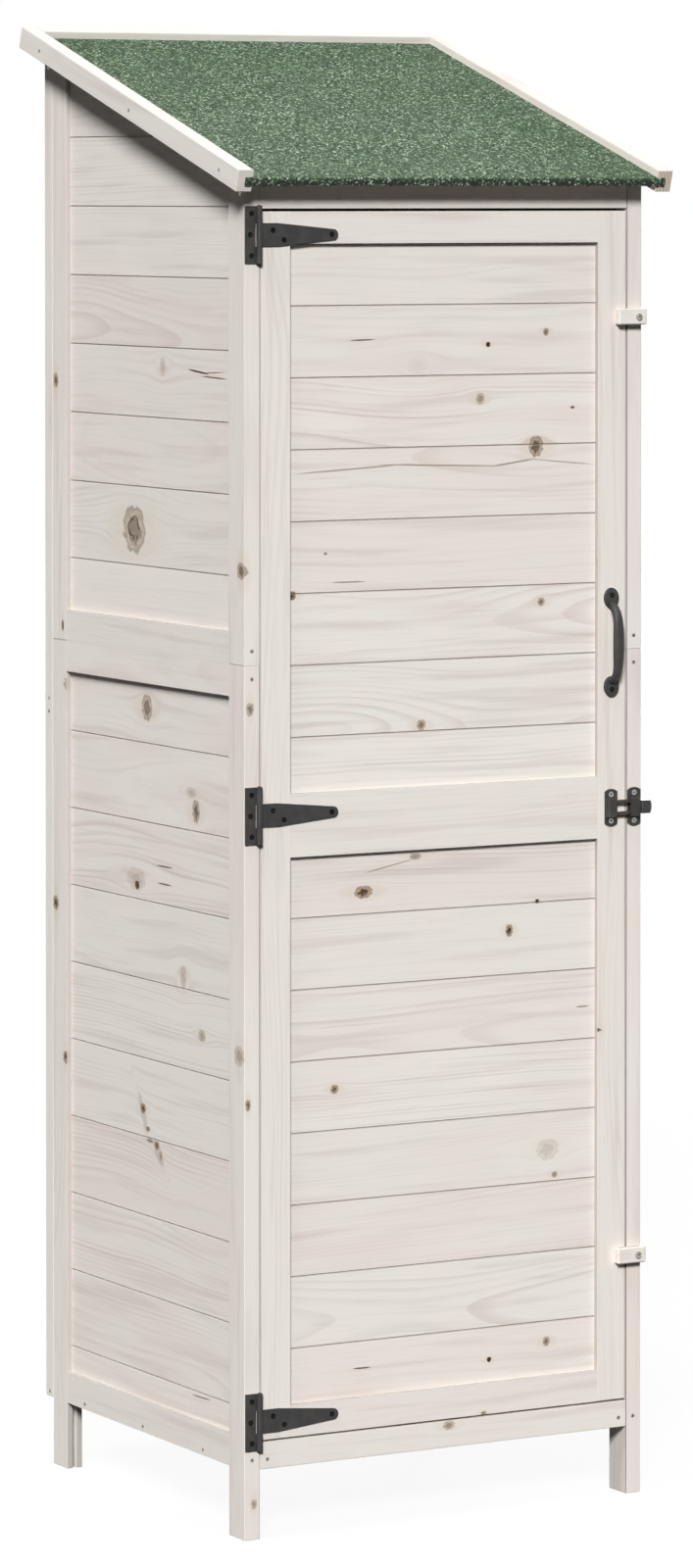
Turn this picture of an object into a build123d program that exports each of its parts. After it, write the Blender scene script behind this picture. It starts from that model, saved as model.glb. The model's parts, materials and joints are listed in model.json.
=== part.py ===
from build123d import *
import os
from math import cos, radians, sin, tan

# Narrow timber garden shed with one door and a felted roof that falls to the front.
# Millimetres. +Z is up, +Y goes to the back and +X is to the right of someone who faces the door.
# The origin is on the ground, below the middle of the roof.

# Body
BODY_WIDTH = 533.0  # over the outer faces of the side walls
SIDE_DEPTH = 485.0  # a side wall, from its front edge to its rear edge
LEG_HEIGHT = 80.0  # ground to the underside of the bottom rails
SEAM_HEIGHT = 1001.0  # ground to the joint between the lower and the upper side walls
BACK_MID_RAIL = 902.0  # ground to the underside of the back wall's middle rail

# Frame stock, the same for walls and door
FRAME_WIDTH = 37.0
FRAME_THICK = 20.0
TENON_LENGTH = 7.0
GROOVE_SPARE = 1.0  # room beyond the end of a tongue or tenon
JOINERY_FIT = 0.1  # play on each face of a tongue or tenon

# Tongued boards
BOARD_THICK = 8.0
BOARD_CHEEK = 1.75  # wood on each side of a board's groove
BOARD_TONGUE = 4.0  # how far one board's tongue enters the next board
BOARD_CHAMFER = 1.0
BOARD_GAP = 0.2  # at the shoulders of two boards
WIDE_COVER = 92.95
NARROW_COVER = 82.35
LOWER_SIDE_FIRST = 31.9  # visible part of the lowest board in each panel
UPPER_SIDE_FIRST = 62.7
DOOR_FIRST = 63.6
LEAST_COVER = 20.0  # a last board narrower than this becomes part of the one below

# Roof
EAVES_HEIGHT = 1540.3  # ground to the lower front corner of a barge board
ROOF_PITCH = 17.6  # degrees
FRONT_OVERHANG = 24.2  # front wall face to the lower front corner of a barge board
REAR_GAP = 0.4  # back wall face to the rear fascia, at the underside of the deck
BARGE_GAP = 3.9  # side wall face to the inner face of a barge board
BARGE_THICK = 20.0
BARGE_HEIGHT = 25.7
FELT_DROP = 8.0  # top of the barge boards down to the felt
FELT_THICK = 2.0
FELT_LAP = 10.0  # how far the front hem runs over the end of each barge board
DECK_THICK = 9.0
DECK_BOARD_COUNT = 7
DECK_BOARD_GAP = 0.6
ROOF_SEAT = 0.2  # walls stop this far below the deck
BEARER_WIDTH = 20.0
BEARER_HEIGHT = 36.0

# Floor and front members
SILL_HEIGHT = 31.0
HEADER_HEIGHT = 34.0  # at the front face, up to the deck
FLOOR_THICK = 10.0
FLOOR_BOARD_COUNT = 5
FLOOR_GAP = 1.0
CLEAT_SIZE = 20.0
DOWEL_RADIUS = 4.0
DOWEL_LENGTH = 24.0
DOWEL_FIT = 0.05
DOWEL_SPARE = 4.0  # end of a dowel to the middle of the post screw beyond it

# Door
DOOR_SIDE_GAP = 1.5
DOOR_TOP_GAP = 3.0
DOOR_BOTTOM_GAP = 2.5
DOOR_STILE_WIDTH = 38.5
DOOR_BOTTOM_RAIL = 36.5
DOOR_MID_RAIL = 73.0
DOOR_TOP_RAIL = 37.0

# T-hinges
LEAF_THICK = 2.0
LEAF_HEIGHT = 65.5
LEAF_MARGIN = 0.6  # outer edge of the post to the leaf
KNUCKLE_RADIUS = 3.6
KNUCKLE_STANDOFF = 0.2  # knuckle to the face of the post and the door
KNUCKLE_GAP = 0.3  # between the knuckles of leaf and strap
PIN_INSET = 2.3  # inner edge of the post to the axis of the pins
PIN_RADIUS = 1.6
PIN_FIT = 0.05
PIN_HEAD_RADIUS = 2.3
PIN_HEAD_HEIGHT = 1.0
STRAP_LENGTH = 104.0  # axis to tip
STRAP_ROOT = 26.6
STRAP_SHOULDER = 25.0  # axis to where the taper starts
STRAP_TIP_RADIUS = 6.2
STRAP_HOLES = ((18.8, 5.0), (33.3, -6.0), (95.8, 0.0))  # from the axis, above the middle
LEAF_HOLES = ((8.8, 24.0), (7.2, 0.0), (8.8, -24.0))  # from the post's outer edge, above the middle
TOP_HINGE_DROP = 26.5  # top of the door to the middle of the top hinge
MIDDLE_HINGE_RISE = 50.0  # underside of the middle rail to the middle of its hinge
BOTTOM_HINGE_RISE = 21.5  # bottom of the door to the middle of the bottom hinge

# Pull handle
HANDLE_RISE = 195.1  # middle of the latch to the middle of the handle
HANDLE_REACH = 52.1  # middle of the handle to the middle of each rosette
ROSETTE_WIDTH = 20.0
ROSETTE_LENGTH = 24.5
ROSETTE_THICK = 3.2
ROSETTE_EDGE = 1.3
BOW_STANDOFF = 18.0  # door face to the middle of the grip
BOW_WIDTH = 14.5
BOW_THICK = 8.0
NECK_WIDTH = 9.2
HANDLE_SCREW_OFFSET = 3.5  # each screw lies this far outside the middle of its rosette

# Slide latch
LATCH_HEIGHT = 814.9
FITTINGS_OFFSET = 1.2  # middle of the latch stile to the middle of handle and keeper
PLATE_THICK = 1.5
PLATE_CROWN = 3.2  # rise of a plate's round ends
HOUSING_PLATE = (18.0, 45.5)
KEEPER_PLATE = (17.2, 44.0)
HOUSING_SCREW_SPREAD = 16.5
KEEPER_SCREW_SPREAD = 15.6
BOLT_OVERRUN = 3.2  # how far the closed bolt passes the middle of the keeper
BOLT_HEIGHT = 17.6
BOLT_THICK = 5.0
BOLT_TIP = 6.5  # solid end in front of the window
BOLT_WINDOW_HEIGHT = 10.0
BOLT_FIT = 0.3  # play of the bolt in its housing and keeper
PEG_RADIUS = 1.5
SLEEVE_INSET = 1.0  # inner edge of the post to the sleeve
SLEEVE_LENGTH = 13.0
SLEEVE_WALL = 1.8
SLEEVE_EDGE = 1.2
KEEPER_DEPTH = 7.5
KEEPER_END_WALL = 3.5
KEEPER_PLAY = 1.5  # bolt tip to the end of the keeper's pocket
KNOB_LENGTH = 16.0
KNOB_HEIGHT = 15.6
KNOB_DEPTH = 10.8
KNOB_CHAMFER = 4.8

# Turn buttons
BUTTON_LENGTH = 38.0
BUTTON_HEIGHT = 19.0
BUTTON_THICK = 10.0
BUTTON_TAIL = 11.5  # pivot to the short end
BUTTON_EDGE = 1.2
BUTTON_PLAY = 0.3  # button to the face of the post and to the screw head
BUTTON_HEIGHTS = {"upper": 1393.5, "lower": 284.5}
PIVOT_RADIUS = 2.0
PIVOT_FIT = 0.05
PIVOT_HEAD_RADIUS = 3.8
PIVOT_HEAD_HEIGHT = 2.2
PIVOT_GRIP = 24.0  # length of the pivot screw in the post

# Screws
SCREW_RADIUS = 1.5
FITTING_HEAD_RADIUS = 3.2
WOOD_SCREW_HEAD_RADIUS = 2.5
SCREW_POINT = 3.0
SCREW_FIT = 0.05
RECESS_SHARE = 1.125  # length of a cross recess, in radii of its head
RECESS_WIDTH = 0.8
RECESS_DEPTH = 1.0
SCREW_BITE = 16.0  # how far a frame screw enters the second piece
FITTING_SCREW_LENGTH = 16.0
POST_SCREW_RISE = 11.5  # underside of the bottom rail to the lowest post screw
SIDE_SCREW_FRONT = 64.0  # front post to the first floor screw in a bottom rail
SIDE_SCREW_REAR = 46.0  # rear post to the last one
SIDE_SCREW_RISE = 6.5  # underside of the bottom rail to the floor screws
BACK_SCREW_RISE = 6.5  # underside of a back stile to its lowest screw
BACK_SCREW_INSET = 8.0  # middle of a back rail to its screws
BARGE_SCREW_FRONT = 46.0  # front end of a barge board to its first screw
BARGE_SCREW_REAR = 54.0  # rear end of a barge board to its last screw
BEARER_SCREW_INSET = 5.0  # header to the bearer's front screw

# Levels and faces that follow from the sizes above
PITCH = radians(ROOF_PITCH)
DECK_TOP = BARGE_HEIGHT - FELT_DROP - FELT_THICK
DECK_LOW = DECK_TOP - DECK_THICK
REAR_OVERHANG = REAR_GAP + BARGE_THICK * cos(PITCH) + DECK_LOW * sin(PITCH)
BARGE_LENGTH = (FRONT_OVERHANG + SIDE_DEPTH + FRAME_THICK + REAR_OVERHANG) / cos(PITCH)
EAVES_Y = -(BARGE_LENGTH * cos(PITCH) - BARGE_HEIGHT * sin(PITCH)) / 2
FRONT_Y = EAVES_Y + FRONT_OVERHANG
BACK_Y = FRONT_Y + SIDE_DEPTH
OUTER_X = BODY_WIDTH / 2
INNER_X = OUTER_X - FRAME_THICK
POST_MID_X = OUTER_X - FRAME_THICK / 2
DECK_HALF_WIDTH = OUTER_X + BARGE_GAP
FRONT_DECK_LEVEL = EAVES_HEIGHT + FRONT_OVERHANG * tan(PITCH) + DECK_LOW / cos(PITCH)
HEADER_BOTTOM = FRONT_DECK_LEVEL - HEADER_HEIGHT
SILL_TOP = LEG_HEIGHT + SILL_HEIGHT
DOOR_BOTTOM = SILL_TOP + DOOR_BOTTOM_GAP
DOOR_TOP = HEADER_BOTTOM - DOOR_TOP_GAP
DOOR_RAILS = DOOR_BOTTOM_RAIL + DOOR_MID_RAIL + DOOR_TOP_RAIL
DOOR_PANEL_HEIGHT = (DOOR_TOP - DOOR_BOTTOM - DOOR_RAILS) / 2
DOOR_MID = DOOR_BOTTOM + DOOR_BOTTOM_RAIL + DOOR_PANEL_HEIGHT
DOOR_EDGE_X = INNER_X - DOOR_SIDE_GAP
FITTINGS_X = DOOR_EDGE_X - DOOR_STILE_WIDTH / 2 - FITTINGS_OFFSET
HANDLE_HEIGHT = LATCH_HEIGHT + HANDLE_RISE
GROOVE_WIDTH = BOARD_THICK - 2 * BOARD_CHEEK
GROOVE_DEPTH = TENON_LENGTH + GROOVE_SPARE
GROOVE_LOW = (FRAME_THICK - GROOVE_WIDTH) / 2
GROOVE_HIGH = GROOVE_LOW + GROOVE_WIDTH
TENON_LOW = GROOVE_LOW + JOINERY_FIT
TENON_HIGH = GROOVE_HIGH - JOINERY_FIT
BOARD_LOW = (FRAME_THICK - BOARD_THICK) / 2
BOARD_HIGH = BOARD_LOW + BOARD_THICK
PIN_X = -INNER_X - PIN_INSET
PIN_Y = FRONT_Y - KNUCKLE_RADIUS - KNUCKLE_STANDOFF
HINGE_HEIGHTS = {
    "top": DOOR_TOP - TOP_HINGE_DROP,
    "middle": DOOR_MID + MIDDLE_HINGE_RISE,
    "bottom": DOOR_BOTTOM + BOTTOM_HINGE_RISE,
}
RAIL_MID = FRAME_WIDTH / 2
FRAME_SCREW_LENGTH = FRAME_WIDTH + SCREW_BITE
FACE_SCREW_LENGTH = FRAME_THICK + SCREW_BITE

nodes = {}
holes = []


def block(x0, x1, y0, y1, z0, z1):
    """A box between two corners."""
    corner = (Align.MIN, Align.MIN, Align.MIN)
    return Pos(x0, y0, z0) * Box(x1 - x0, y1 - y0, z1 - z0, align=corner)


def prism(points, x0, x1):
    """A prism along X whose outline is given as (y, z) points."""
    return extrude(Plane.YZ.offset(x0) * Polygon(*points, align=None), amount=x1 - x0)


def deck_underside(y):
    """Level of the underside of the roof deck."""
    return FRONT_DECK_LEVEL + (y - FRONT_Y) * tan(PITCH)


def roof_space():
    """Everything above the walls, to cut them to the slope of the roof."""
    front = FRONT_Y - SIDE_DEPTH
    rear = BACK_Y + SIDE_DEPTH
    ceiling = deck_underside(rear) + SIDE_DEPTH
    outline = [
        (front, deck_underside(front) - ROOF_SEAT),
        (rear, deck_underside(rear) - ROOF_SEAT),
        (rear, ceiling),
        (front, ceiling),
    ]
    return prism(outline, -BODY_WIDTH, BODY_WIDTH)


# A panel is built flat: X along the panel, Y through its thickness, Z up.


def stile(x0, x1, z0, z1, groove_side):
    """An upright with a groove in one edge: groove_side is 1 for the high edge, -1 for the low one."""
    edge = x1 if groove_side > 0 else x0
    inner = edge - groove_side * GROOVE_DEPTH
    groove = block(min(edge, inner), max(edge, inner), GROOVE_LOW, GROOVE_HIGH, z0, z1)
    return block(x0, x1, 0, FRAME_THICK, z0, z1) - groove


def rail(x0, x1, z0, z1, top_groove=False, bottom_groove=False):
    """A rail between two stiles, with a stub tenon at each end."""
    start = x0 - TENON_LENGTH
    end = x1 + TENON_LENGTH
    piece = block(x0, x1, 0, FRAME_THICK, z0, z1) + block(start, end, TENON_LOW, TENON_HIGH, z0, z1)
    if top_groove:
        piece -= block(start, end, GROOVE_LOW, GROOVE_HIGH, z1 - GROOVE_DEPTH, z1)
    if bottom_groove:
        piece -= block(start, end, GROOVE_LOW, GROOVE_HIGH, z0, z0 + GROOVE_DEPTH)
    return piece


def seam_levels(bottom, top, covers):
    """Levels of the board joints from bottom to top; the last of the covers repeats."""
    levels = [bottom]
    while True:
        cover = covers[min(len(levels), len(covers)) - 1]
        if levels[-1] + cover > top - LEAST_COVER:
            return levels + [top]
        levels.append(levels[-1] + cover)


def board_outline(z0, z1, is_lowest, is_highest):
    """Section of one board: a tongue on top, and a groove or a tongue below."""
    chamfer = BOARD_CHAMFER
    head = TENON_LENGTH if is_highest else BOARD_TONGUE
    top = z1 if is_highest else z1 - BOARD_GAP
    if is_lowest:
        foot = [
            (BOARD_LOW, z0),
            (TENON_LOW, z0),
            (TENON_LOW, z0 - TENON_LENGTH),
            (TENON_HIGH, z0 - TENON_LENGTH),
            (TENON_HIGH, z0),
            (BOARD_HIGH, z0),
        ]
    else:
        roof = z0 + BOARD_TONGUE + JOINERY_FIT
        foot = [
            (BOARD_LOW, z0 + chamfer),
            (BOARD_LOW + chamfer, z0),
            (GROOVE_LOW, z0),
            (GROOVE_LOW, roof),
            (GROOVE_HIGH, roof),
            (GROOVE_HIGH, z0),
            (BOARD_HIGH - chamfer, z0),
            (BOARD_HIGH, z0 + chamfer),
        ]
    crown = [
        (BOARD_HIGH, top - chamfer),
        (BOARD_HIGH - chamfer, top),
        (TENON_HIGH, top),
        (TENON_HIGH, top + head),
        (TENON_LOW, top + head),
        (TENON_LOW, top),
        (BOARD_LOW + chamfer, top),
        (BOARD_LOW, top - chamfer),
    ]
    return foot + crown


def boards(x0, x1, z0, z1, covers):
    """The boards of one panel, tongued together and into the frame around them."""
    start = x0 - TENON_LENGTH
    end = x1 + TENON_LENGTH
    levels = seam_levels(z0, z1, covers)
    low = z0 - GROOVE_DEPTH
    high = z1 + GROOVE_DEPTH
    cheeks = []
    for near, far in ((start, x0 + JOINERY_FIT), (x1 - JOINERY_FIT, end)):
        cheeks.append(block(near, far, 0, TENON_LOW, low, high))
        cheeks.append(block(near, far, TENON_HIGH, FRAME_THICK, low, high))
    pieces = []
    last = len(levels) - 2
    for number, (bottom, top) in enumerate(zip(levels, levels[1:])):
        piece = prism(board_outline(bottom, top, number == 0, number == last), start, end)
        pieces.append(piece - cheeks)
    return pieces


def add(name, pieces, place=Location()):
    """Put the pieces of one node in their place."""
    nodes[name] = [solid for piece in pieces for solid in (place * piece).solids()]


def cut_to_roof(*names):
    """Cut the tops of nodes to the slope of the roof."""
    space = roof_space()
    for name in names:
        nodes[name] = [solid for piece in nodes[name] for solid in (piece - space).solids()]


def side_wall(side, place):
    """One side wall: a lower frame on legs and an upper frame that stands on it."""
    front = FRAME_WIDTH
    rear = SIDE_DEPTH - FRAME_WIDTH
    peak = deck_underside(BACK_Y)
    lower_bottom = LEG_HEIGHT + FRAME_WIDTH
    lower_top = SEAM_HEIGHT - FRAME_WIDTH
    upper_bottom = SEAM_HEIGHT + FRAME_WIDTH
    add(f"{side}_front_post_lower", [stile(0, front, 0, SEAM_HEIGHT, 1)], place)
    add(f"{side}_rear_post_lower", [stile(rear, SIDE_DEPTH, 0, SEAM_HEIGHT, -1)], place)
    add(f"{side}_front_post_upper", [stile(0, front, SEAM_HEIGHT, peak, 1)], place)
    add(f"{side}_rear_post_upper", [stile(rear, SIDE_DEPTH, SEAM_HEIGHT, peak, -1)], place)
    add(f"{side}_bottom_rail", [rail(front, rear, LEG_HEIGHT, lower_bottom, top_groove=True)], place)
    add(f"{side}_lower_top_rail", [rail(front, rear, lower_top, SEAM_HEIGHT, bottom_groove=True)], place)
    add(f"{side}_upper_bottom_rail", [rail(front, rear, SEAM_HEIGHT, upper_bottom, top_groove=True)], place)
    lower_covers = (LOWER_SIDE_FIRST, WIDE_COVER)
    add(f"{side}_lower_boards", boards(front, rear, lower_bottom, lower_top, lower_covers), place)
    upper_covers = (UPPER_SIDE_FIRST, WIDE_COVER, NARROW_COVER)
    add(f"{side}_upper_boards", boards(front, rear, upper_bottom, peak, upper_covers), place)
    cut_to_roof(f"{side}_front_post_upper", f"{side}_rear_post_upper", f"{side}_upper_boards")


def back_wall():
    """The back wall: one tall frame behind the side walls, tied by a middle rail."""
    place = Pos(0, BACK_Y, 0)
    edge = OUTER_X - FRAME_WIDTH
    peak = deck_underside(BACK_Y + FRAME_THICK)
    bottom = LEG_HEIGHT + FRAME_WIDTH
    middle = BACK_MID_RAIL + FRAME_WIDTH
    top = deck_underside(BACK_Y) - FRAME_WIDTH
    add("back_left_stile", [stile(-OUTER_X, -edge, LEG_HEIGHT, peak, 1)], place)
    add("back_right_stile", [stile(edge, OUTER_X, LEG_HEIGHT, peak, -1)], place)
    add("back_bottom_rail", [rail(-edge, edge, LEG_HEIGHT, bottom, top_groove=True)], place)
    add("back_mid_rail", [rail(-edge, edge, BACK_MID_RAIL, middle, True, True)], place)
    add("back_top_rail", [rail(-edge, edge, top, peak, bottom_groove=True)], place)
    lower_covers = (LOWER_SIDE_FIRST, WIDE_COVER)
    add("back_lower_boards", boards(-edge, edge, bottom, BACK_MID_RAIL, lower_covers), place)
    upper_covers = (UPPER_SIDE_FIRST, NARROW_COVER)
    add("back_upper_boards", boards(-edge, edge, middle, top, upper_covers), place)
    cut_to_roof("back_left_stile", "back_right_stile", "back_top_rail")


def front_and_floor():
    """Sill and header between the front posts, and the floor on its two cleats."""
    rear_face = FRONT_Y + FRAME_THICK
    add("sill", [block(-INNER_X, INNER_X, FRONT_Y, rear_face, LEG_HEIGHT, SILL_TOP)])
    header_top = deck_underside(rear_face)
    add("header", [block(-INNER_X, INNER_X, FRONT_Y, rear_face, HEADER_BOTTOM, header_top)])
    cut_to_roof("header")
    cleat_top = SILL_TOP - FLOOR_THICK
    cleat_edge = INNER_X - CLEAT_SIZE
    cleat = block(cleat_edge, INNER_X, rear_face, BACK_Y, cleat_top - CLEAT_SIZE, cleat_top)
    add("floor_cleats", [cleat, mirror(cleat, about=Plane.YZ)])
    pitch = (BACK_Y - rear_face - FLOOR_GAP) / FLOOR_BOARD_COUNT
    half = INNER_X - FLOOR_GAP
    floor = []
    for number in range(FLOOR_BOARD_COUNT):
        start = rear_face + FLOOR_GAP + number * pitch
        floor.append(block(-half, half, start, start + pitch - FLOOR_GAP, cleat_top, SILL_TOP))
    add("floor_boards", floor)


def post_dowels():
    """Dowels that locate the upper posts on the lower ones, and their holes."""
    dowel = Cylinder(DOWEL_RADIUS, DOWEL_LENGTH)
    hole = Cylinder(DOWEL_RADIUS + DOWEL_FIT, DOWEL_LENGTH + 2 * DOWEL_FIT)
    inset = (FRAME_WIDTH - GROOVE_DEPTH) / 2
    pieces = []
    for x in (-POST_MID_X, POST_MID_X):
        for y in (FRONT_Y + inset, BACK_Y - inset):
            pieces.append(Pos(x, y, SEAM_HEIGHT) * dowel)
            holes.append(Pos(x, y, SEAM_HEIGHT) * hole)
    add("post_dowels", pieces)


def roof():
    """Bearers, deck boards, felt with its front hem, barge boards and the rear fascia.

    All but the bearers are built level, Y up the slope and Z square to it, then tilted.
    """
    place = Pos(0, EAVES_Y, EAVES_HEIGHT) * Rot(ROOF_PITCH, 0, 0)
    deck_length = BARGE_LENGTH - BARGE_THICK
    pitch = (deck_length + DECK_BOARD_GAP) / DECK_BOARD_COUNT
    deck = []
    for number in range(DECK_BOARD_COUNT):
        start = number * pitch
        end = start + pitch - DECK_BOARD_GAP
        deck.append(block(-DECK_HALF_WIDTH, DECK_HALF_WIDTH, start, end, DECK_LOW, DECK_TOP))
    add("roof_boards", deck, place)
    felt_top = DECK_TOP + FELT_THICK
    hem_half = DECK_HALF_WIDTH + FELT_LAP
    felt = block(-DECK_HALF_WIDTH, DECK_HALF_WIDTH, -FELT_THICK, deck_length, DECK_TOP, felt_top)
    felt += block(-hem_half, hem_half, -FELT_THICK, 0, DECK_LOW, felt_top)
    add("roof_felt", [felt], place)
    barge_outer = DECK_HALF_WIDTH + BARGE_THICK
    barge = block(DECK_HALF_WIDTH, barge_outer, 0, BARGE_LENGTH, 0, BARGE_HEIGHT)
    add("right_barge_board", [barge], place)
    add("left_barge_board", [mirror(barge, about=Plane.YZ)], place)
    fascia = block(-DECK_HALF_WIDTH, DECK_HALF_WIDTH, deck_length, BARGE_LENGTH, 0, BARGE_HEIGHT)
    add("rear_fascia", [fascia], place)
    front = FRONT_Y + FRAME_THICK
    outline = [
        (front, deck_underside(front) - ROOF_SEAT - BEARER_HEIGHT),
        (BACK_Y, deck_underside(BACK_Y) - ROOF_SEAT - BEARER_HEIGHT),
        (BACK_Y, deck_underside(BACK_Y) - ROOF_SEAT),
        (front, deck_underside(front) - ROOF_SEAT),
    ]
    bearer = prism(outline, INNER_X - BEARER_WIDTH, INNER_X)
    add("roof_bearers", [bearer, mirror(bearer, about=Plane.YZ)])


def door():
    """The framed door with its two boarded panels."""
    place = Pos(0, FRONT_Y, 0)
    edge = DOOR_EDGE_X - DOOR_STILE_WIDTH
    lower = DOOR_BOTTOM + DOOR_BOTTOM_RAIL
    upper = DOOR_MID + DOOR_MID_RAIL
    upper_end = upper + DOOR_PANEL_HEIGHT
    covers = (DOOR_FIRST, NARROW_COVER)
    add("door_hinge_stile", [stile(-DOOR_EDGE_X, -edge, DOOR_BOTTOM, DOOR_TOP, 1)], place)
    add("door_latch_stile", [stile(edge, DOOR_EDGE_X, DOOR_BOTTOM, DOOR_TOP, -1)], place)
    add("door_bottom_rail", [rail(-edge, edge, DOOR_BOTTOM, lower, top_groove=True)], place)
    add("door_mid_rail", [rail(-edge, edge, DOOR_MID, upper, True, True)], place)
    add("door_top_rail", [rail(-edge, edge, upper_end, DOOR_TOP, bottom_groove=True)], place)
    add("door_lower_boards", boards(-edge, edge, lower, DOOR_MID, covers), place)
    add("door_upper_boards", boards(-edge, edge, upper, upper_end, covers), place)


def knuckle(z0, z1):
    """One hinge knuckle without its bore."""
    middle = (z0 + z1) / 2
    return Pos(PIN_X, PIN_Y, middle) * Cylinder(KNUCKLE_RADIUS, z1 - z0)


def hinge(position, level):
    """One T-hinge: the leaf on the post and the strap on the door. Returns its pin."""
    half = LEAF_HEIGHT / 2
    slot = STRAP_ROOT / 2 + KNUCKLE_GAP
    face = FRONT_Y - LEAF_THICK
    bore = Pos(PIN_X, PIN_Y, level) * Cylinder(PIN_RADIUS + PIN_FIT, LEAF_HEIGHT)
    leaf = block(-OUTER_X + LEAF_MARGIN, PIN_X, face, FRONT_Y, level - half, level + half)
    leaf -= block(PIN_X - KNUCKLE_RADIUS - KNUCKLE_GAP, PIN_X, face, FRONT_Y, level - slot, level + slot)
    leaf += knuckle(level + slot, level + half)
    leaf += knuckle(level - half, level - slot)
    add(f"{position}_hinge_leaf", [leaf - bore])

    tip = STRAP_LENGTH - STRAP_TIP_RADIUS
    sides = Polyline(
        (tip, STRAP_TIP_RADIUS),
        (STRAP_SHOULDER, STRAP_ROOT / 2),
        (0, STRAP_ROOT / 2),
        (0, -STRAP_ROOT / 2),
        (STRAP_SHOULDER, -STRAP_ROOT / 2),
        (tip, -STRAP_TIP_RADIUS),
    )
    end = ThreePointArc((tip, -STRAP_TIP_RADIUS), (STRAP_LENGTH, 0), (tip, STRAP_TIP_RADIUS))
    strap = extrude(Plane.XZ * make_face(sides + end), amount=LEAF_THICK)
    strap = Pos(PIN_X, FRONT_Y, level) * strap
    strap += knuckle(level - STRAP_ROOT / 2, level + STRAP_ROOT / 2)
    add(f"{position}_hinge_strap", [strap - bore])

    pin = Pos(PIN_X, PIN_Y, level) * Cylinder(PIN_RADIUS, LEAF_HEIGHT)
    for end_side in (-1, 1):
        height = level + end_side * (half + PIN_HEAD_HEIGHT / 2)
        pin += Pos(PIN_X, PIN_Y, height) * Cylinder(PIN_HEAD_RADIUS, PIN_HEAD_HEIGHT)
    return pin


def pull_handle():
    """A bow handle: two rosettes and a grip that swells to its middle."""
    place = Pos(FITTINGS_X, FRONT_Y, HANDLE_HEIGHT)
    rosette = extrude(Plane.XZ * Ellipse(ROSETTE_WIDTH / 2, ROSETTE_LENGTH / 2), amount=ROSETTE_THICK)
    rosette = fillet(rosette.faces().sort_by(Axis.Y)[0].edges(), ROSETTE_EDGE)
    grip_half = HANDLE_REACH - ROSETTE_LENGTH / 4
    # Share of the standoff, share of the grip's half length and share of the swell, from neck to middle
    stations = ((0.05, 1.0, 0.0), (0.5, 0.9, 0.05), (0.86, 0.68, 0.4), (0.98, 0.33, 0.85), (1.0, 0.0, 1.0))
    centres = [(-out * BOW_STANDOFF, up * grip_half, swell) for out, up, swell in stations]
    centres += [(y, -z, swell) for y, z, swell in reversed(centres[:-1])]
    sections = []
    for number, (y, z, swell) in enumerate(centres):
        before = centres[max(number - 1, 0)]
        after = centres[min(number + 1, len(centres) - 1)]
        heading = (0, after[0] - before[0], after[1] - before[1])
        width = NECK_WIDTH + (BOW_WIDTH - NECK_WIDTH) * swell
        plane = Plane(origin=(0, y, z), x_dir=(1, 0, 0), z_dir=heading)
        sections.append(plane * Ellipse(width / 2, BOW_THICK / 2))
    grip = loft(sections)
    grip -= block(-BOW_WIDTH, BOW_WIDTH, 0, BOW_STANDOFF, -2 * HANDLE_REACH, 2 * HANDLE_REACH)
    handle = grip + Pos(0, 0, HANDLE_REACH) * rosette + Pos(0, 0, -HANDLE_REACH) * rosette
    add("pull_handle", [handle], place)
    for side in (-1, 1):
        height = HANDLE_HEIGHT + side * (HANDLE_REACH + HANDLE_SCREW_OFFSET)
        fitting_screw("door", (FITTINGS_X, FRONT_Y - ROSETTE_THICK, height))


def plate(size):
    """A thin plate with round ends, standing on the face of the door or post."""
    width, height = size
    side = width / 2
    end = height / 2
    shoulder = end - PLATE_CROWN
    outline = Line((-side, -shoulder), (-side, shoulder))
    outline += ThreePointArc((-side, shoulder), (0, end), (side, shoulder))
    outline += Line((side, shoulder), (side, -shoulder))
    outline += ThreePointArc((side, -shoulder), (0, -end), (-side, -shoulder))
    return extrude(Plane.XZ * make_face(outline), amount=PLATE_THICK)


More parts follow.
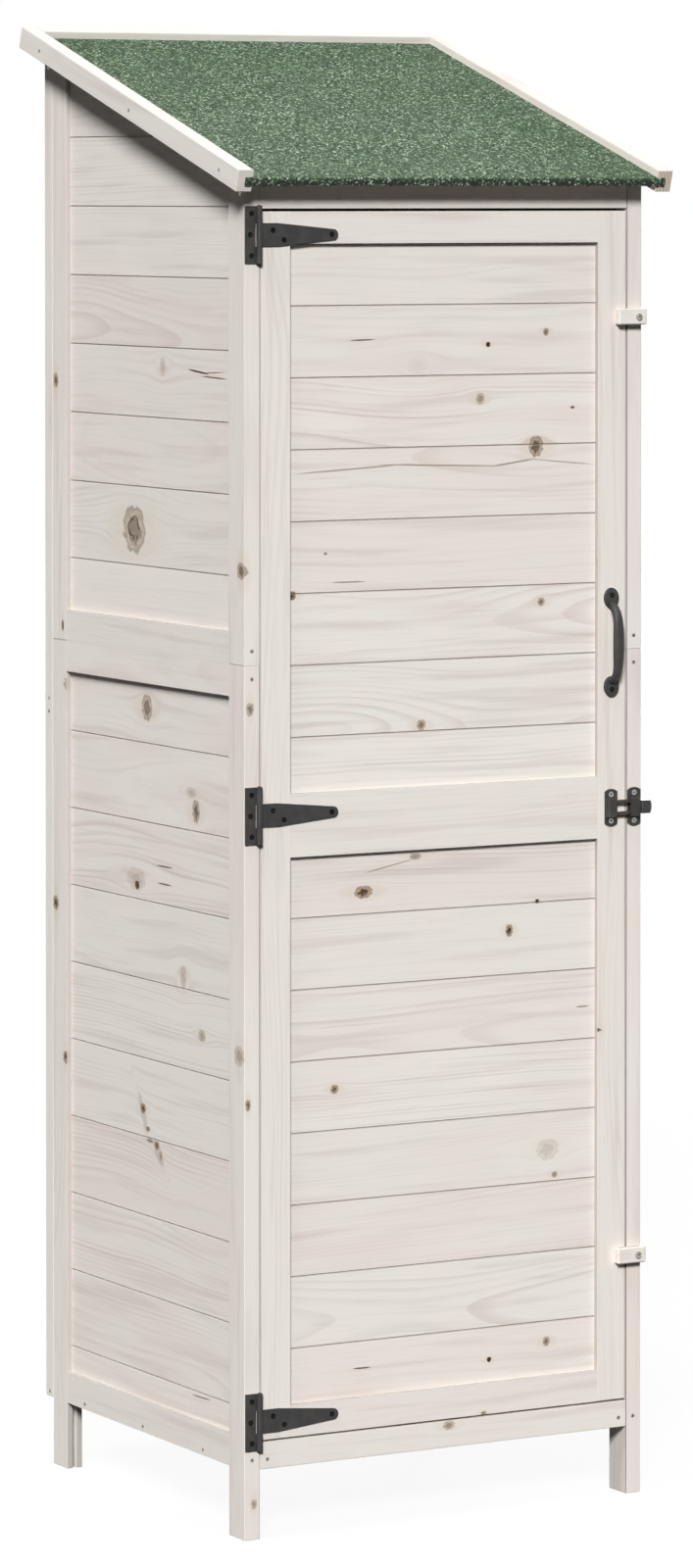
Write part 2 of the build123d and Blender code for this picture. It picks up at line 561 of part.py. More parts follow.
def latch():
    """Slide latch: a bolt with a window runs in a housing on the post and enters a keeper."""
    back = PLATE_THICK + BOLT_FIT
    front = back + BOLT_THICK
    tip = FITTINGS_X - BOLT_OVERRUN
    travel = INNER_X - tip
    sleeve_start = INNER_X + SLEEVE_INSET
    sleeve_end = sleeve_start + SLEEVE_LENGTH
    half = BOLT_HEIGHT / 2
    bore_half = half + BOLT_FIT
    outer_half = bore_half + SLEEVE_WALL
    outer_front = front + BOLT_FIT + SLEEVE_WALL
    window_start = tip + BOLT_TIP
    window_end = window_start + travel + 2 * PEG_RADIUS + 2 * BOLT_FIT
    peg_x = window_end - PEG_RADIUS - BOLT_FIT
    place = Pos(0, FRONT_Y, LATCH_HEIGHT)

    sleeve = block(sleeve_start, sleeve_end, -outer_front, 0, -outer_half, outer_half)
    sleeve = fillet(sleeve.edges().filter_by(Axis.X).group_by(Axis.Y)[0], SLEEVE_EDGE)
    housing = Pos(POST_MID_X, 0, 0) * plate(HOUSING_PLATE) + sleeve
    housing -= block(sleeve_start, sleeve_end, -front - BOLT_FIT, -PLATE_THICK, -bore_half, bore_half)
    peg = Rot(90, 0, 0) * Cylinder(PEG_RADIUS, outer_front - SLEEVE_WALL)
    housing += Pos(peg_x, -outer_front / 2, 0) * peg
    add("latch_housing", [housing], place)

    pocket_end = tip - KEEPER_PLAY
    pocket_mouth = pocket_end + KEEPER_DEPTH
    hood = block(pocket_end - KEEPER_END_WALL, pocket_mouth, -outer_front, 0, -outer_half, outer_half)
    hood = fillet(hood.edges().filter_by(Axis.Z).group_by(Axis.Y)[0].sort_by(Axis.X)[0], KEEPER_END_WALL)
    hood -= block(pocket_end, pocket_mouth, -front - BOLT_FIT, -PLATE_THICK, -bore_half, bore_half)
    add("latch_keeper", [Pos(FITTINGS_X, 0, 0) * plate(KEEPER_PLATE) + hood], place)

    knob_start = sleeve_end + BOLT_FIT
    bolt = block(tip, knob_start, -front, -back, -half, half)
    window_half = BOLT_WINDOW_HEIGHT / 2
    bolt -= block(window_start, window_end, -front, -back, -window_half, window_half)
    knob_end = knob_start + KNOB_LENGTH
    knob = block(knob_start, knob_end, -back - KNOB_DEPTH, -back, -KNOB_HEIGHT / 2, KNOB_HEIGHT / 2)
    knob = chamfer(knob.faces().sort_by(Axis.X)[-1].edges(), KNOB_CHAMFER)
    add("latch_bolt", [bolt + knob], place)

    for side in (-1, 1):
        post_level = LATCH_HEIGHT + side * HOUSING_SCREW_SPREAD
        fitting_screw("post", (POST_MID_X, FRONT_Y - PLATE_THICK, post_level))
        door_level = LATCH_HEIGHT + side * KEEPER_SCREW_SPREAD
        fitting_screw("door", (FITTINGS_X, FRONT_Y - PLATE_THICK, door_level))


def turn_button(position, level):
    """A wooden button on the latch post. Returns its pivot screw."""
    rear = FRONT_Y - BUTTON_PLAY
    front = rear - BUTTON_THICK
    tail = POST_MID_X + BUTTON_TAIL
    low = level - BUTTON_HEIGHT / 2
    button = block(tail - BUTTON_LENGTH, tail, front, rear, low, low + BUTTON_HEIGHT)
    button = chamfer(button.edges(), BUTTON_EDGE)
    axis = Pos(POST_MID_X, FRONT_Y, level) * Rot(90, 0, 0)
    length = BUTTON_THICK + 2 * BUTTON_PLAY
    button -= axis * Pos(0, 0, length / 2) * Cylinder(PIVOT_RADIUS + PIVOT_FIT, length)
    add(f"{position}_turn_button", [button])
    shank_length = length + PIVOT_GRIP
    pivot = Pos(0, 0, length - shank_length / 2) * Cylinder(PIVOT_RADIUS, shank_length)
    pivot += Pos(0, 0, length + PIVOT_HEAD_HEIGHT / 2) * Cylinder(PIVOT_HEAD_RADIUS, PIVOT_HEAD_HEIGHT)
    pivot -= recess(length + PIVOT_HEAD_HEIGHT, PIVOT_HEAD_RADIUS)
    grip = PIVOT_GRIP + PIVOT_FIT
    holes.append(axis * Pos(0, 0, -grip / 2) * Cylinder(PIVOT_RADIUS + PIVOT_FIT, grip))
    return axis * pivot


def recess(level, head):
    """The cross recess of a screw head of the given radius, whose face is at the given level."""
    slot = Box(RECESS_SHARE * head, RECESS_WIDTH, 2 * RECESS_DEPTH)
    return Pos(0, 0, level) * (slot + Rot(0, 0, 90) * slot)


def screw(length, head, play=0.0):
    """A countersunk screw that points down from the origin, or with some play, its hole."""
    shank = SCREW_RADIUS + play
    rim = head + play
    end = length + play
    outline = [(0, 0), (rim, 0), (shank, shank - rim), (shank, SCREW_POINT - end), (0, -end)]
    return revolve(Plane.XZ * Polygon(*outline, align=None), Axis.Z)


def drive(name, point, heading, length, head=WOOD_SCREW_HEAD_RADIUS):
    """Drive one screw into a group of screws, and keep its hole for the pieces that it passes."""
    back = tuple(-part for part in heading)
    place = Plane(origin=point, z_dir=back).location
    nodes.setdefault(name, []).extend((place * (screw(length, head) - recess(0, head))).solids())
    holes.append(place * screw(length, head, SCREW_FIT))


def fitting_screw(side, point):
    """A short screw that holds a metal fitting to the door or to a post."""
    drive(f"{side}_fitting_screws", point, (0, 1, 0), FITTING_SCREW_LENGTH, FITTING_HEAD_RADIUS)


def hinge_screws(level):
    """Screws of one hinge, in the post and in the door."""
    face = FRONT_Y - LEAF_THICK
    for inset, rise in LEAF_HOLES:
        fitting_screw("post", (-OUTER_X + inset, face, level + rise))
    for reach, rise in STRAP_HOLES:
        fitting_screw("door", (PIN_X + reach, face, level + rise))


def side_screws(side):
    """Screws in one side wall: posts to rails, rail to floor cleat, bearer to posts. side is -1 or 1."""
    seam_offset = DOWEL_LENGTH / 2 + DOWEL_SPARE
    rail_levels = (LEG_HEIGHT + POST_SCREW_RISE, SEAM_HEIGHT - seam_offset, SEAM_HEIGHT + seam_offset)
    x = side * POST_MID_X
    for level in rail_levels:
        drive("wood_screws", (x, FRONT_Y, level), (0, 1, 0), FRAME_SCREW_LENGTH)
        drive("wood_screws", (x, BACK_Y, level), (0, -1, 0), FRAME_SCREW_LENGTH)
    first = FRONT_Y + FRAME_WIDTH + SIDE_SCREW_FRONT
    last = BACK_Y - FRAME_WIDTH - SIDE_SCREW_REAR
    for y in (first, (first + last) / 2, last):
        point = (side * OUTER_X, y, LEG_HEIGHT + SIDE_SCREW_RISE)
        drive("wood_screws", point, (-side, 0, 0), FACE_SCREW_LENGTH)
    bearer_face = side * (INNER_X - BEARER_WIDTH)
    bearer_length = BEARER_WIDTH + SCREW_BITE
    for y in (FRONT_Y + FRAME_THICK + BEARER_SCREW_INSET, BACK_Y - (FRAME_WIDTH - GROOVE_DEPTH) / 2):
        point = (bearer_face, y, deck_underside(y) - BEARER_HEIGHT / 2)
        drive("wood_screws", point, (side, 0, 0), bearer_length)


def front_screws(side):
    """Screws through the sill into a floor cleat, and through a post into the header."""
    cleat_mid = SILL_TOP - FLOOR_THICK - CLEAT_SIZE / 2
    point = (side * (INNER_X - CLEAT_SIZE / 2), FRONT_Y, cleat_mid)
    drive("wood_screws", point, (0, 1, 0), FACE_SCREW_LENGTH)
    point = (side * OUTER_X, FRONT_Y + FRAME_THICK / 2, HEADER_BOTTOM + HEADER_HEIGHT / 2)
    drive("wood_screws", point, (-side, 0, 0), FACE_SCREW_LENGTH)


def back_screws(side):
    """Screws through a back stile: sideways into the rails, and forwards into the side wall."""
    mid_rail = BACK_MID_RAIL + RAIL_MID
    rail_levels = (
        LEG_HEIGHT + BACK_SCREW_RISE,
        mid_rail - BACK_SCREW_INSET,
        mid_rail + BACK_SCREW_INSET,
        deck_underside(BACK_Y) - RAIL_MID,
    )
    for level in rail_levels:
        point = (side * OUTER_X, BACK_Y + FRAME_THICK / 2, level)
        drive("wood_screws", point, (-side, 0, 0), FRAME_SCREW_LENGTH)
    low = LEG_HEIGHT + 2 * FRAME_WIDTH
    high = deck_underside(BACK_Y) - 2 * FRAME_WIDTH
    for share in (0, 1 / 3, 2 / 3, 1):
        point = (side * POST_MID_X, BACK_Y + FRAME_THICK, low + share * (high - low))
        drive("wood_screws", point, (0, -1, 0), FACE_SCREW_LENGTH)


def roof_screws(side):
    """Screws through a barge board and the fascia into the deck, and through the deck into a bearer."""
    up_slope = Pos(0, EAVES_Y, EAVES_HEIGHT) * Rot(ROOF_PITCH, 0, 0)
    deck_mid = DECK_LOW + DECK_THICK / 2
    barge_x = side * (DECK_HALF_WIDTH + BARGE_THICK)
    deck_pitch = (BARGE_LENGTH - BARGE_THICK + DECK_BOARD_GAP) / DECK_BOARD_COUNT
    middle_board = (DECK_BOARD_COUNT // 2 + 1 / 2) * deck_pitch
    for along in (BARGE_SCREW_FRONT, middle_board, BARGE_LENGTH - BARGE_SCREW_REAR):
        point = (up_slope * Pos(barge_x, along, deck_mid)).position
        drive("wood_screws", point, (-side, 0, 0), FACE_SCREW_LENGTH)
    point = (up_slope * Pos(side * DECK_HALF_WIDTH / 2, BARGE_LENGTH, deck_mid)).position
    drive("wood_screws", point, (0, -cos(PITCH), -sin(PITCH)), FACE_SCREW_LENGTH)
    bearer_x = side * (INNER_X - BEARER_WIDTH / 2)
    down = (0, sin(PITCH), -cos(PITCH))
    for number in range(1, DECK_BOARD_COUNT - 1, 2):
        point = (up_slope * Pos(bearer_x, (number + 1 / 2) * deck_pitch, DECK_TOP)).position
        drive("wood_screws", point, down, DECK_THICK + SCREW_BITE)


def drill_all():
    """Cut the holes of screws and dowels into the pieces that they pass."""
    boxes = [(hole, hole.bounding_box()) for hole in holes]
    fasteners = {"wood_screws", "post_fitting_screws", "door_fitting_screws", "button_screws", "post_dowels"}
    for name in nodes.keys() - fasteners:
        drilled = []
        for solid in nodes[name]:
            box = solid.bounding_box()
            cutters = [hole for hole, hole_box in boxes if box.overlaps(hole_box)]
            drilled.extend((solid - cutters).solids() if cutters else [solid])
        nodes[name] = drilled


side_wall("left", Pos(-INNER_X, FRONT_Y, 0) * Rot(0, 0, 90))
side_wall("right", Pos(OUTER_X, FRONT_Y, 0) * Rot(0, 0, 90))
back_wall()
front_and_floor()
post_dowels()
roof()
door()
pull_handle()
latch()
add("hinge_pins", [hinge(position, level) for position, level in HINGE_HEIGHTS.items()])
for hinge_level in HINGE_HEIGHTS.values():
    hinge_screws(hinge_level)
add("button_screws", [turn_button(position, level) for position, level in BUTTON_HEIGHTS.items()])
for wall_side in (-1, 1):
    side_screws(wall_side)
    front_screws(wall_side)
    back_screws(wall_side)
    roof_screws(wall_side)
drill_all()

os.makedirs("parts", exist_ok=True)
for node_name, solids in nodes.items():
    export_step(Compound(children=solids), f"parts/{node_name}.step")
print(len(nodes), "nodes,", sum(len(solids) for solids in nodes.values()), "solids")
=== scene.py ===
import json
import math
import random
from collections import namedtuple

import bmesh
import bpy
from mathutils import Matrix, Vector, noise

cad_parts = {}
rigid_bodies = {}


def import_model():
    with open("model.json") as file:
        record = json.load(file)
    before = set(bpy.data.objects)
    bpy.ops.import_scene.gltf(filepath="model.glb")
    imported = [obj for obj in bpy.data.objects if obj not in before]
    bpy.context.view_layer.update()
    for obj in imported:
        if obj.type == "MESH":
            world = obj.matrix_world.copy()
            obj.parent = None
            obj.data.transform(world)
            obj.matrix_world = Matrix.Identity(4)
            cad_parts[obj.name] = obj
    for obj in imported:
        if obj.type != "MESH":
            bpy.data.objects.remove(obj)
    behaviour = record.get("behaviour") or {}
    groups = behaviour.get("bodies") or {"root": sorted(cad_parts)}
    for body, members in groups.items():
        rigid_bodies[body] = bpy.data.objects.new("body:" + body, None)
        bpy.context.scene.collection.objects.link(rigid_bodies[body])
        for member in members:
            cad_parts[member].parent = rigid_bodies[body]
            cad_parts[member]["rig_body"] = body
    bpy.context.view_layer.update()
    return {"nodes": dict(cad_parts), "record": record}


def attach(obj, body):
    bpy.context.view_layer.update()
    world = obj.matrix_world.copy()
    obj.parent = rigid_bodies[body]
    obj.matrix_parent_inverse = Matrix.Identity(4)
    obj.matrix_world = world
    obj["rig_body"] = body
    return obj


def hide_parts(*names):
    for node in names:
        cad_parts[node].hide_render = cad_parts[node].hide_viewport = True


# A narrow whitewashed garden shed with a felted roof. Metres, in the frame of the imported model:
# +Z is up, +Y goes to the back and +X is to the right of someone who faces the door.

MM = 0.001
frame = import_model()
NODES = frame["nodes"]
SLOTS = {part["node"]: part["material_slot"] for part in frame["record"]["subparts"]}

# Camera, fitted to the photograph
PHOTO_WIDTH = 707
PHOTO_HEIGHT = 1600
SENSOR = 36.0
LENS = 138.253
CAMERA_PLACE = (-3.5278, -6.2617, 1.5395)
CAMERA_YAW = math.radians(29.4436)
CAMERA_PITCH = math.radians(1.3759)
CAMERA_SHIFT = -0.285
CAMERA_REACH = 100.0

# Light: one from above the camera, a steep one from the left, one from behind that skims the roof, and a
# dim sky
KEY_TRAVEL = (1.08, 1.65, -1.2)
KEY_STRENGTH = 3.8
KEY_ANGLE = math.radians(14.0)
SIDE_TRAVEL = (1.0, 0.2, -1.8)
SIDE_STRENGTH = 1.32
SIDE_ANGLE = math.radians(14.0)
REAR_TRAVEL = (-0.8, -1.15, -0.34)
REAR_STRENGTH = 3.3
REAR_ANGLE = math.radians(10.0)
SKY_LOW = 0.03
SKY_HIGH = 0.08
SKY_RISE = (-0.1, 0.85)  # the heights between which the sky goes from low to high
SKY_COLOR = (1.0, 0.88, 0.78, 1.0)
WHITE = (1.0, 1.0, 1.0, 1.0)
FLOOR_HALF = 30.0
FLOOR_BOUNCE = (0.04, 0.04, 0.04, 1.0)  # the floor as the object sees it
FLOOR_SHADE = (0.06, 0.06, 0.06, 1.0)  # the part of the floor's white that a shadow takes away
FLOOR_GLOW = 0.93

# Timber: shape
ROOF_PITCH = math.radians(17.6)
ROOF_TIMBER = {"roof_boards", "left_barge_board", "right_barge_board", "rear_fascia", "roof_bearers"}
EASE = 0.7 * MM  # rounding of the long edges
EASE_SEGMENTS = 2
EASE_SHORTEST = 6 * MM  # a shorter edge stays sharp
SHARP = math.radians(60)
WELD = 0.002 * MM
FLAT = math.radians(0.5)  # faces with a smaller bend between them become one
SMOOTH_ANGLE = math.radians(35)

# Timber: what a face of a board is, as its share of end grain, of wear and of painted shade on a recess
# edge or in a seam
END_FACE = (1.0, 0.0, 0.0)
WORN_EDGE = (0.0, 1.0, 0.0)
RECESS_SHADE_FACE = (0.0, 0.0, 1.0)
FACING = 0.8  # a face looks along a direction when its normal has more than this share of it
EASED_FACING = (0.3, 0.95)  # the shares for an eased edge
RECESS_EDGE = 9.0 * MM  # the edge of a stile or rail beside a panel is narrower than this
# Painted shade in gaps and seams, as a share of the darkest seam shade
DOOR_GAP_SHADE = 1.0  # how dark the painted shade on the edges of the gap beside the door is
FRAME_SEAM_SHADE = 0.55  # and the painted shade in the seam between lower and upper side frames
FRONT_SEAM_SHADE = 0.1  # which hardly shows from the front
BOARD_SEAM_SHADE = 0.3
# The side, along X, on which an upright borders the gap beside the door
GAP_SIDES = {
    "left_front_post_lower": 1,
    "left_front_post_upper": 1,
    "door_hinge_stile": -1,
    "door_latch_stile": 1,
    "right_front_post_lower": -1,
    "right_front_post_upper": -1,
}

# Timber: how boards differ
GRAIN_SHIFT = 60.0
PITH_ACROSS = 90.0  # millimetres from the middle of the board to the pith of the log, either way
PITH_DEPTH = (30.0, 110.0)
CONTRAST = (0.12, 0.52)
FRAME_PLAINNESS = 0.45  # stiles and rails differ less than the boards of a panel
END_WARMTH = {
    "upper_turn_button": 0.0,
    "lower_turn_button": 0.0,
    "left_barge_board": 0.0,
    "right_barge_board": 1.0,
}

# Timber: knots
KNOT_SLOTS = ("a", "b", "c", "d", "e")
FAR = 1000.0
THIN_BOARD = 12.0 * MM  # a knot goes right through a board thinner than this
EDGE_KNOT_REACH = 2.5  # how much deeper a knot goes in from the edge of a board
SEEN_STARTS = ("left_", "door_", "sill", "header", "right_front", "upper_turn", "lower_turn")
SEEN_NODES = {name for name in NODES if name.startswith(SEEN_STARTS)}
# Knots of boards that the photograph doesn't show: at most two on a board
HIDDEN_KNOTS = 2
HIDDEN_KNOT_ODDS = 0.55
HIDDEN_ALONG = 0.45  # of the board's length, from its middle
HIDDEN_ACROSS = 0.4
HIDDEN_RADIUS = (3.5, 11.0)  # millimetres
HIDDEN_DARK = (0.3, 0.9)
HIDDEN_RINGED = (0.2, 1.0)
HIDDEN_LENGTH = (0.9, 1.4)  # of the radius
# Knots and short cracks that the photograph shows: pixel, half length along the grain, half width
# across it (both in millimetres), darkness and how clearly the rings show
PHOTO_KNOTS = {
    "left_upper_round": ((137, 540), 28, 27, 0.8, 1.0),
    "left_upper_faint": ((166, 374), 8, 11, 0.2, 0.3),
    "left_below_seam": ((150, 722), 13, 15, 0.8, 0.9),
    "left_second_board": ((200, 828), 9, 13, 0.75, 0.45),
    "left_second_arch": ((195, 809), 13, 6, 0.3, 0.6),
    "left_third_dome": ((139, 897), 24, 13, 0.2, 0.35),
    "left_third_spot": ((140, 903), 6, 5, 0.9, 0.1),
    "left_fourth_streak": ((187, 998), 8, 14, 0.25, 0.3),
    "left_fifth_board": ((206, 1057), 9, 7, 0.4, 0.3),
    "left_sixth_board": ((146, 1131), 7, 6, 0.85, 0.3),
    "left_sixth_foot": ((151, 1152), 5, 3, 0.55, 0.1),
    "left_seventh_edge": ((153, 1164), 8, 2.5, 0.5, 0.1),
    "left_seventh_spot": ((160, 1169), 6, 5, 0.75, 0.25),
    "left_seventh_tail": ((164, 1180), 4, 6, 0.5, 0.25),
    "rear_post_high": ((57, 388), 9, 6, 0.85, 0.5),
    "rear_post_above_seam": ((64, 638), 7, 3, 0.8, 0.2),
    "rear_post_below_seam": ((70, 698), 9, 4, 0.6, 0.4),
    "rear_post_middle": ((57, 921), 9, 7, 0.9, 0.4),
    "rear_post_low": ((69, 1079), 8, 4, 0.8, 0.3),
    "front_post_above_seam": ((246, 583), 10, 9, 0.9, 0.8),
    "front_post_below_seam": ((255, 724), 8, 5, 0.7, 0.5),
    "front_post_middle": ((244, 1078), 12, 11, 0.5, 0.8),
    "front_post_low": ((253, 1128), 7, 3.5, 0.7, 0.3),
    "front_post_foot": ((259, 1535), 6, 4, 0.5, 0.4),
    "door_first_hole": ((498, 351.5), 2.9, 2.9, 1.0, 0.0),
    "door_first_small": ((557, 338.7), 4, 4.5, 0.7, 0.3),
    "door_second_ringed": ((490, 406.7), 6, 6.5, 0.65, 1.0),
    "door_second_dot": ((584, 415.6), 2.6, 1.6, 0.7, 0.0),
    "door_second_swirl": ((426, 373), 14, 12, 0.06, 0.6),
    "door_third_large": ((546.8, 455.4), 9.7, 11.8, 0.95, 0.7),
    "door_fifth_dot": ((332, 565), 2.2, 1.8, 0.45, 0.0),
    "door_fifth_edge": ((608.6, 573), 7, 2.2, 0.85, 0.2),
    "door_sixth_edge": ((298, 608), 5, 5, 0.85, 0.2),
    "door_sixth_small": ((552, 614), 5, 4.7, 0.75, 0.5),
    "door_seventh_round": ((429.7, 739.7), 6, 6, 0.8, 0.8),
    "door_mid_rail_mark": ((423.8, 874), 8, 3.5, 0.45, 0.2),
    "door_lower_first": ((370.7, 910.3), 12, 7, 0.95, 0.5),
    "door_lower_first_dot": ((548, 919.7), 2.6, 2.6, 0.85, 0.0),
    "door_lower_second": ((519.4, 949.5), 5, 7, 0.95, 0.4),
    "door_lower_third_dash": ((594, 1027), 9, 1.2, 0.35, 0.0),
    "door_lower_third_edge": ((608.4, 1051), 3, 3, 0.8, 0.0),
    "door_lower_fourth": ((341.2, 1111.5), 5.5, 5.2, 0.8, 0.4),
    "door_lower_fifth_faint": ((558.3, 1172.8), 15, 12, 0.22, 0.7),
    "door_lower_fifth_small": ((565.6, 1198.3), 4, 3.5, 0.5, 0.2),
    "door_lower_seventh": ((557.2, 1368.6), 5, 5.5, 0.7, 0.4),
    "door_lower_hole": ((498.9, 1387.2), 2.9, 2.9, 1.0, 0.0),
    "door_bottom_edge": ((493.3, 1442.2), 4, 3, 0.6, 0.3),
    "sill_knot": ((457.8, 1454.4), 8, 5, 0.65, 0.8),
}
# Resin lines and cracks: the pixels of both ends, half width in millimetres and darkness
PHOTO_LINES = {
    "left_upper_crack": ((192, 377), (213, 382), 1.1, 0.85),
    "left_upper_crack_end": ((206, 384), (231, 387), 0.9, 0.6),
    "left_upper_crack_branch": ((205, 381), (229, 380), 0.7, 0.5),
    "left_third_crack": ((160, 883), (176, 886), 1.0, 0.6),
    "left_third_low_crack": ((161, 901), (175, 904), 1.0, 0.6),
    "left_low_crack": ((196, 1423), (215, 1429), 0.9, 0.5),
    "left_sixth_branch": ((141, 1117), (151, 1155), 11.0, 0.14),
    "left_seventh_branch": ((156, 1163), (167, 1188), 10.0, 0.14),
    "door_first_dash": ((357, 347.5), (382, 346.5), 0.8, 0.7),
    "door_fifth_dash": ((338, 594.5), (373, 593.5), 0.8, 0.45),
    "door_fourth_resin_start": ((300, 484), (420, 473.2), 1.0, 0.34),
    "door_fourth_resin": ((385, 474.2), (512, 475.6), 1.0, 0.36),
    "door_fourth_resin_rise": ((500, 476.2), (547, 468), 1.0, 0.4),
    "door_fourth_resin_end": ((543, 468.5), (606, 474), 0.8, 0.3),
    "door_lower_first_arc": ((372, 891), (422, 876.5), 0.7, 0.35),
    "door_lower_dash": ((360, 1396.8), (378, 1395.2), 0.9, 0.7),
}

# Felt
GRANULE = 2.1 * MM
FELT_STEP = 2.6 * MM
FELT_ROUGH = 0.35 * MM
FELT_SCALE = 160  # bumps of the sheet per metre
FELT_SMOOTH_ANGLE = math.radians(70)
HEM_RAGGED = 2.2 * MM
FINE_SCALE = 2.7  # of the finer bumps on the felt, against the broad ones
FINE_SHARE = 0.5
# The hem's torn foot, the finer tears in it, its bulge and its middle: scale and row of the noise
HEM_WAVE_SCALE, HEM_WAVE_ROW = 260, 3.0
HEM_TEAR_SCALE, HEM_TEAR_ROW = 900, 5.0
HEM_BULGE_SCALE, HEM_BULGE_ROW = 240, 1.0
HEM_MIDDLE_SCALE, HEM_MIDDLE_ROW = 300, 2.0
HEM_TEAR_SHARE = 0.5
# The hem's rounding in thicknesses of the felt, as how far in and how far up or down
HEM_INSIDE = 0.3
HEM_FOOT_IN, HEM_FOOT_UP = 0.2, 0.1
HEM_SHOULDER_IN, HEM_SHOULDER_DOWN = 0.1, 0.6
HEM_CROWN_IN, HEM_CROWN_DOWN = 0.45, 0.12

# Fittings
METAL_EASE = 0.35 * MM
METAL_SHARP = math.radians(40)
METAL_SHORTEST = 0.8 * MM
SCREW_EASE = 0.1 * MM
SCREW_SHORTEST = 0.5 * MM
HINGE_SIDE = 0.0  # the hinges lie to the left of this X
LATCH_TOP = 0.9  # on the other side, the handle lies above this level and the latch below it
TIP_SPREAD = 0.1 * MM  # points this near to the farthest one belong to a screw's tip
# Painted shade in the cross recess of a plain steel screw: its depth and its reach from the axis
RECESS_LIP = 0.05 * MM
RECESS_DEPTH = 1.15 * MM
RECESS_SHARE = 0.65  # of the head's radius
SMALL_RECESS_SHARES = {"wood_screws": 0.4, "button_screws": 0.25}

# A knot on a board, by the board's long, wide and thin directions
Knot = namedtuple("Knot", "place radii lean radius dark ringed")
PhotoKnot = namedtuple("PhotoKnot", "node point normal half_along half_across dark ringed")
PhotoLine = namedtuple("PhotoLine", "node start end half_width dark")
# One board of a node; order holds the indices of its long, wide and thin directions
Board = namedtuple("Board", "name turn order middle size")


def srgb(red, green, blue):
    """A colour written in 0 to 255 display values, as linear light."""
    def linear(value):
        value /= 255
        return value / 12.92 if value <= 0.04045 else ((value + 0.055) / 1.055) ** 2.4
    return (linear(red), linear(green), linear(blue), 1.0)


# Colours of the pine, from the wash down to the knots
WASH = srgb(235, 230, 224)
WASH_DULL = srgb(230, 223, 217)
CLOUD_COOL = srgb(232, 229, 222)
CLOUD_WARM = srgb(231, 221, 215)
BAND = srgb(207, 196, 189)
LATE_WOOD = srgb(192, 176, 167)
STREAK = srgb(170, 152, 140)
FIBRE = srgb(184, 170, 160)
KNOT_HALO = srgb(214, 200, 178)
KNOT_FILL = srgb(168, 140, 108)
KNOT_MARK = srgb(64, 44, 30)
WORN_WASH = srgb(216, 206, 195)
END_GRAIN = srgb(214, 199, 182)
END_RING = srgb(160, 132, 106)
# Painted shade: on the edges of stiles and rails beside a recessed panel, and darker in the seams between
# parts
RECESS_SHADE = srgb(180, 174, 168)
SEAM_SHADE = srgb(128, 116, 107)

# Noise in the pine: cells per metre along, across and through the grain
WANDER_SCALE = (1.7, 3.0, 1.0)
RING_SCALE = (4.0, 25.0, 25.0)
FIBRE_SCALE = (14.0, 420.0, 420.0)
STREAK_SCALE = (3.0, 190.0, 190.0)
CLOUD_SCALE = (5.0, 26.0, 1.0)
BAND_SCALE = (3.5, 75.0, 20.0)
NOISE_MEAN = (0.5, 0.5, 0.5)
WANDER_ACROSS = 0.035
WANDER_DEPTH = 0.06
RING_STEP = 4.2 * MM
RING_JITTER = 0.9  # of a step
PATCH_ALONG = 1.3  # patches where the rings show: their scale along the grain, across the rings and overall
PATCH_ACROSS = 70.0
PATCH_SCALE = 1.6

# Ranges of smooth steps in the pine: the values where a step starts and ends, and then what it gives
# there, unless that is 0 and 1
LATE_RISE = (0.35, 0.9)
LATE_FALL = (1.0, 0.92)
PATCH_RANGE = (0.4, 0.75)
STREAK_RANGE = (0.66, 0.8)
CLOUD_RANGE = (0.35, 0.7)
BAND_RANGE = (0.5, 0.76, 0.0, 0.5)
FIBRE_RANGE = (0.52, 0.8, 0.0, 0.14)
WEAR_RANGE = (0.4, 0.65, 0.05, 0.3)
PINE_ROUGHNESS = (0.3, 0.7, 0.58, 0.74)

# Shares with which marks cover the wash, and their relief
STREAK_SHARE = 0.4
HALO_SHARE = 0.35
FILL_SHARE = 0.85
MARK_SHARE = 1.15
END_RING_SHARE = 0.6
END_BY_WARMTH = (0.7, 0.1)  # factor and offset
# how much painted shade covers the edge of a recess
RECESS_SHADE_SHARE = 0.9
LINE_RELIEF = 0.5
FIBRE_RELIEF = 0.6
MARK_RELIEF = 0.8
PINE_RELIEF = 0.25 * MM
PINE_BUMP = 0.5
PINE_GLOSS = 0.15

# Knots in the pine, with distances in radii of the knot and ranges as above
KNOT_STRETCH = (0.5, 1.0, 1.0)  # halo and pushed grain reach twice as far along the grain
KNOT_NEAREST = 0.8
KNOT_WOBBLE_SCALE = 1.9
KNOT_WOBBLE = 0.8
KNOT_EDGE = (1.48, 1.28)
KNOT_HALO_EDGE = (1.7, 0.8)
BLOTCH_SCALE = 2.4
BLOTCH_WOBBLE = 1.1
KNOT_HEART = (1.75, 1.3)
RIM_INSIDE = (1.1, 1.3)
RIM_OUTSIDE = (1.6, 1.35)
RIM_SHARE = 0.4
KNOT_RINGS = 9.0  # how close the rings of a knot lie
KNOT_PULSE = (0.1, 0.9, 0.0, 0.95)
KNOT_BREAKS = (0.38, 0.56)
# Parts of a knot by how clearly its rings show: factor and offset
FILL_BY_RINGED = (-0.4, 1.0)
HEART_BY_RINGED = (-0.5, 1.1)
SOLID_BY_RINGED = (-2.0, 1.0)

# Colours of the felt: its granules by their share, thin patches and bare bitumen
GRANULES = (
    (0.0, srgb(20, 30, 20)),
    (0.25, srgb(40, 60, 38)),
    (0.6, srgb(77, 105, 71)),
    (0.86, srgb(117, 150, 110)),
    (1.0, srgb(218, 231, 214)),
)
FELT_PATCH = srgb(70, 92, 70)
BITUMEN = srgb(30, 37, 30)
FELT_PATCH_SCALE = 14.0
FELT_PATCH_RANGE = (0.35, 0.65, 0.0, 0.3)
GRANULE_GAP = (0.35, 0.75)
GAP_SHARE = 0.45
HEM_LOSS = (0.86, 0.66)
GRANULE_HEIGHT = 0.6
GRANULE_RELIEF = 0.7 * MM
FELT_ROUGHNESS = (0.7, 1.0, 0.92, 0.6)

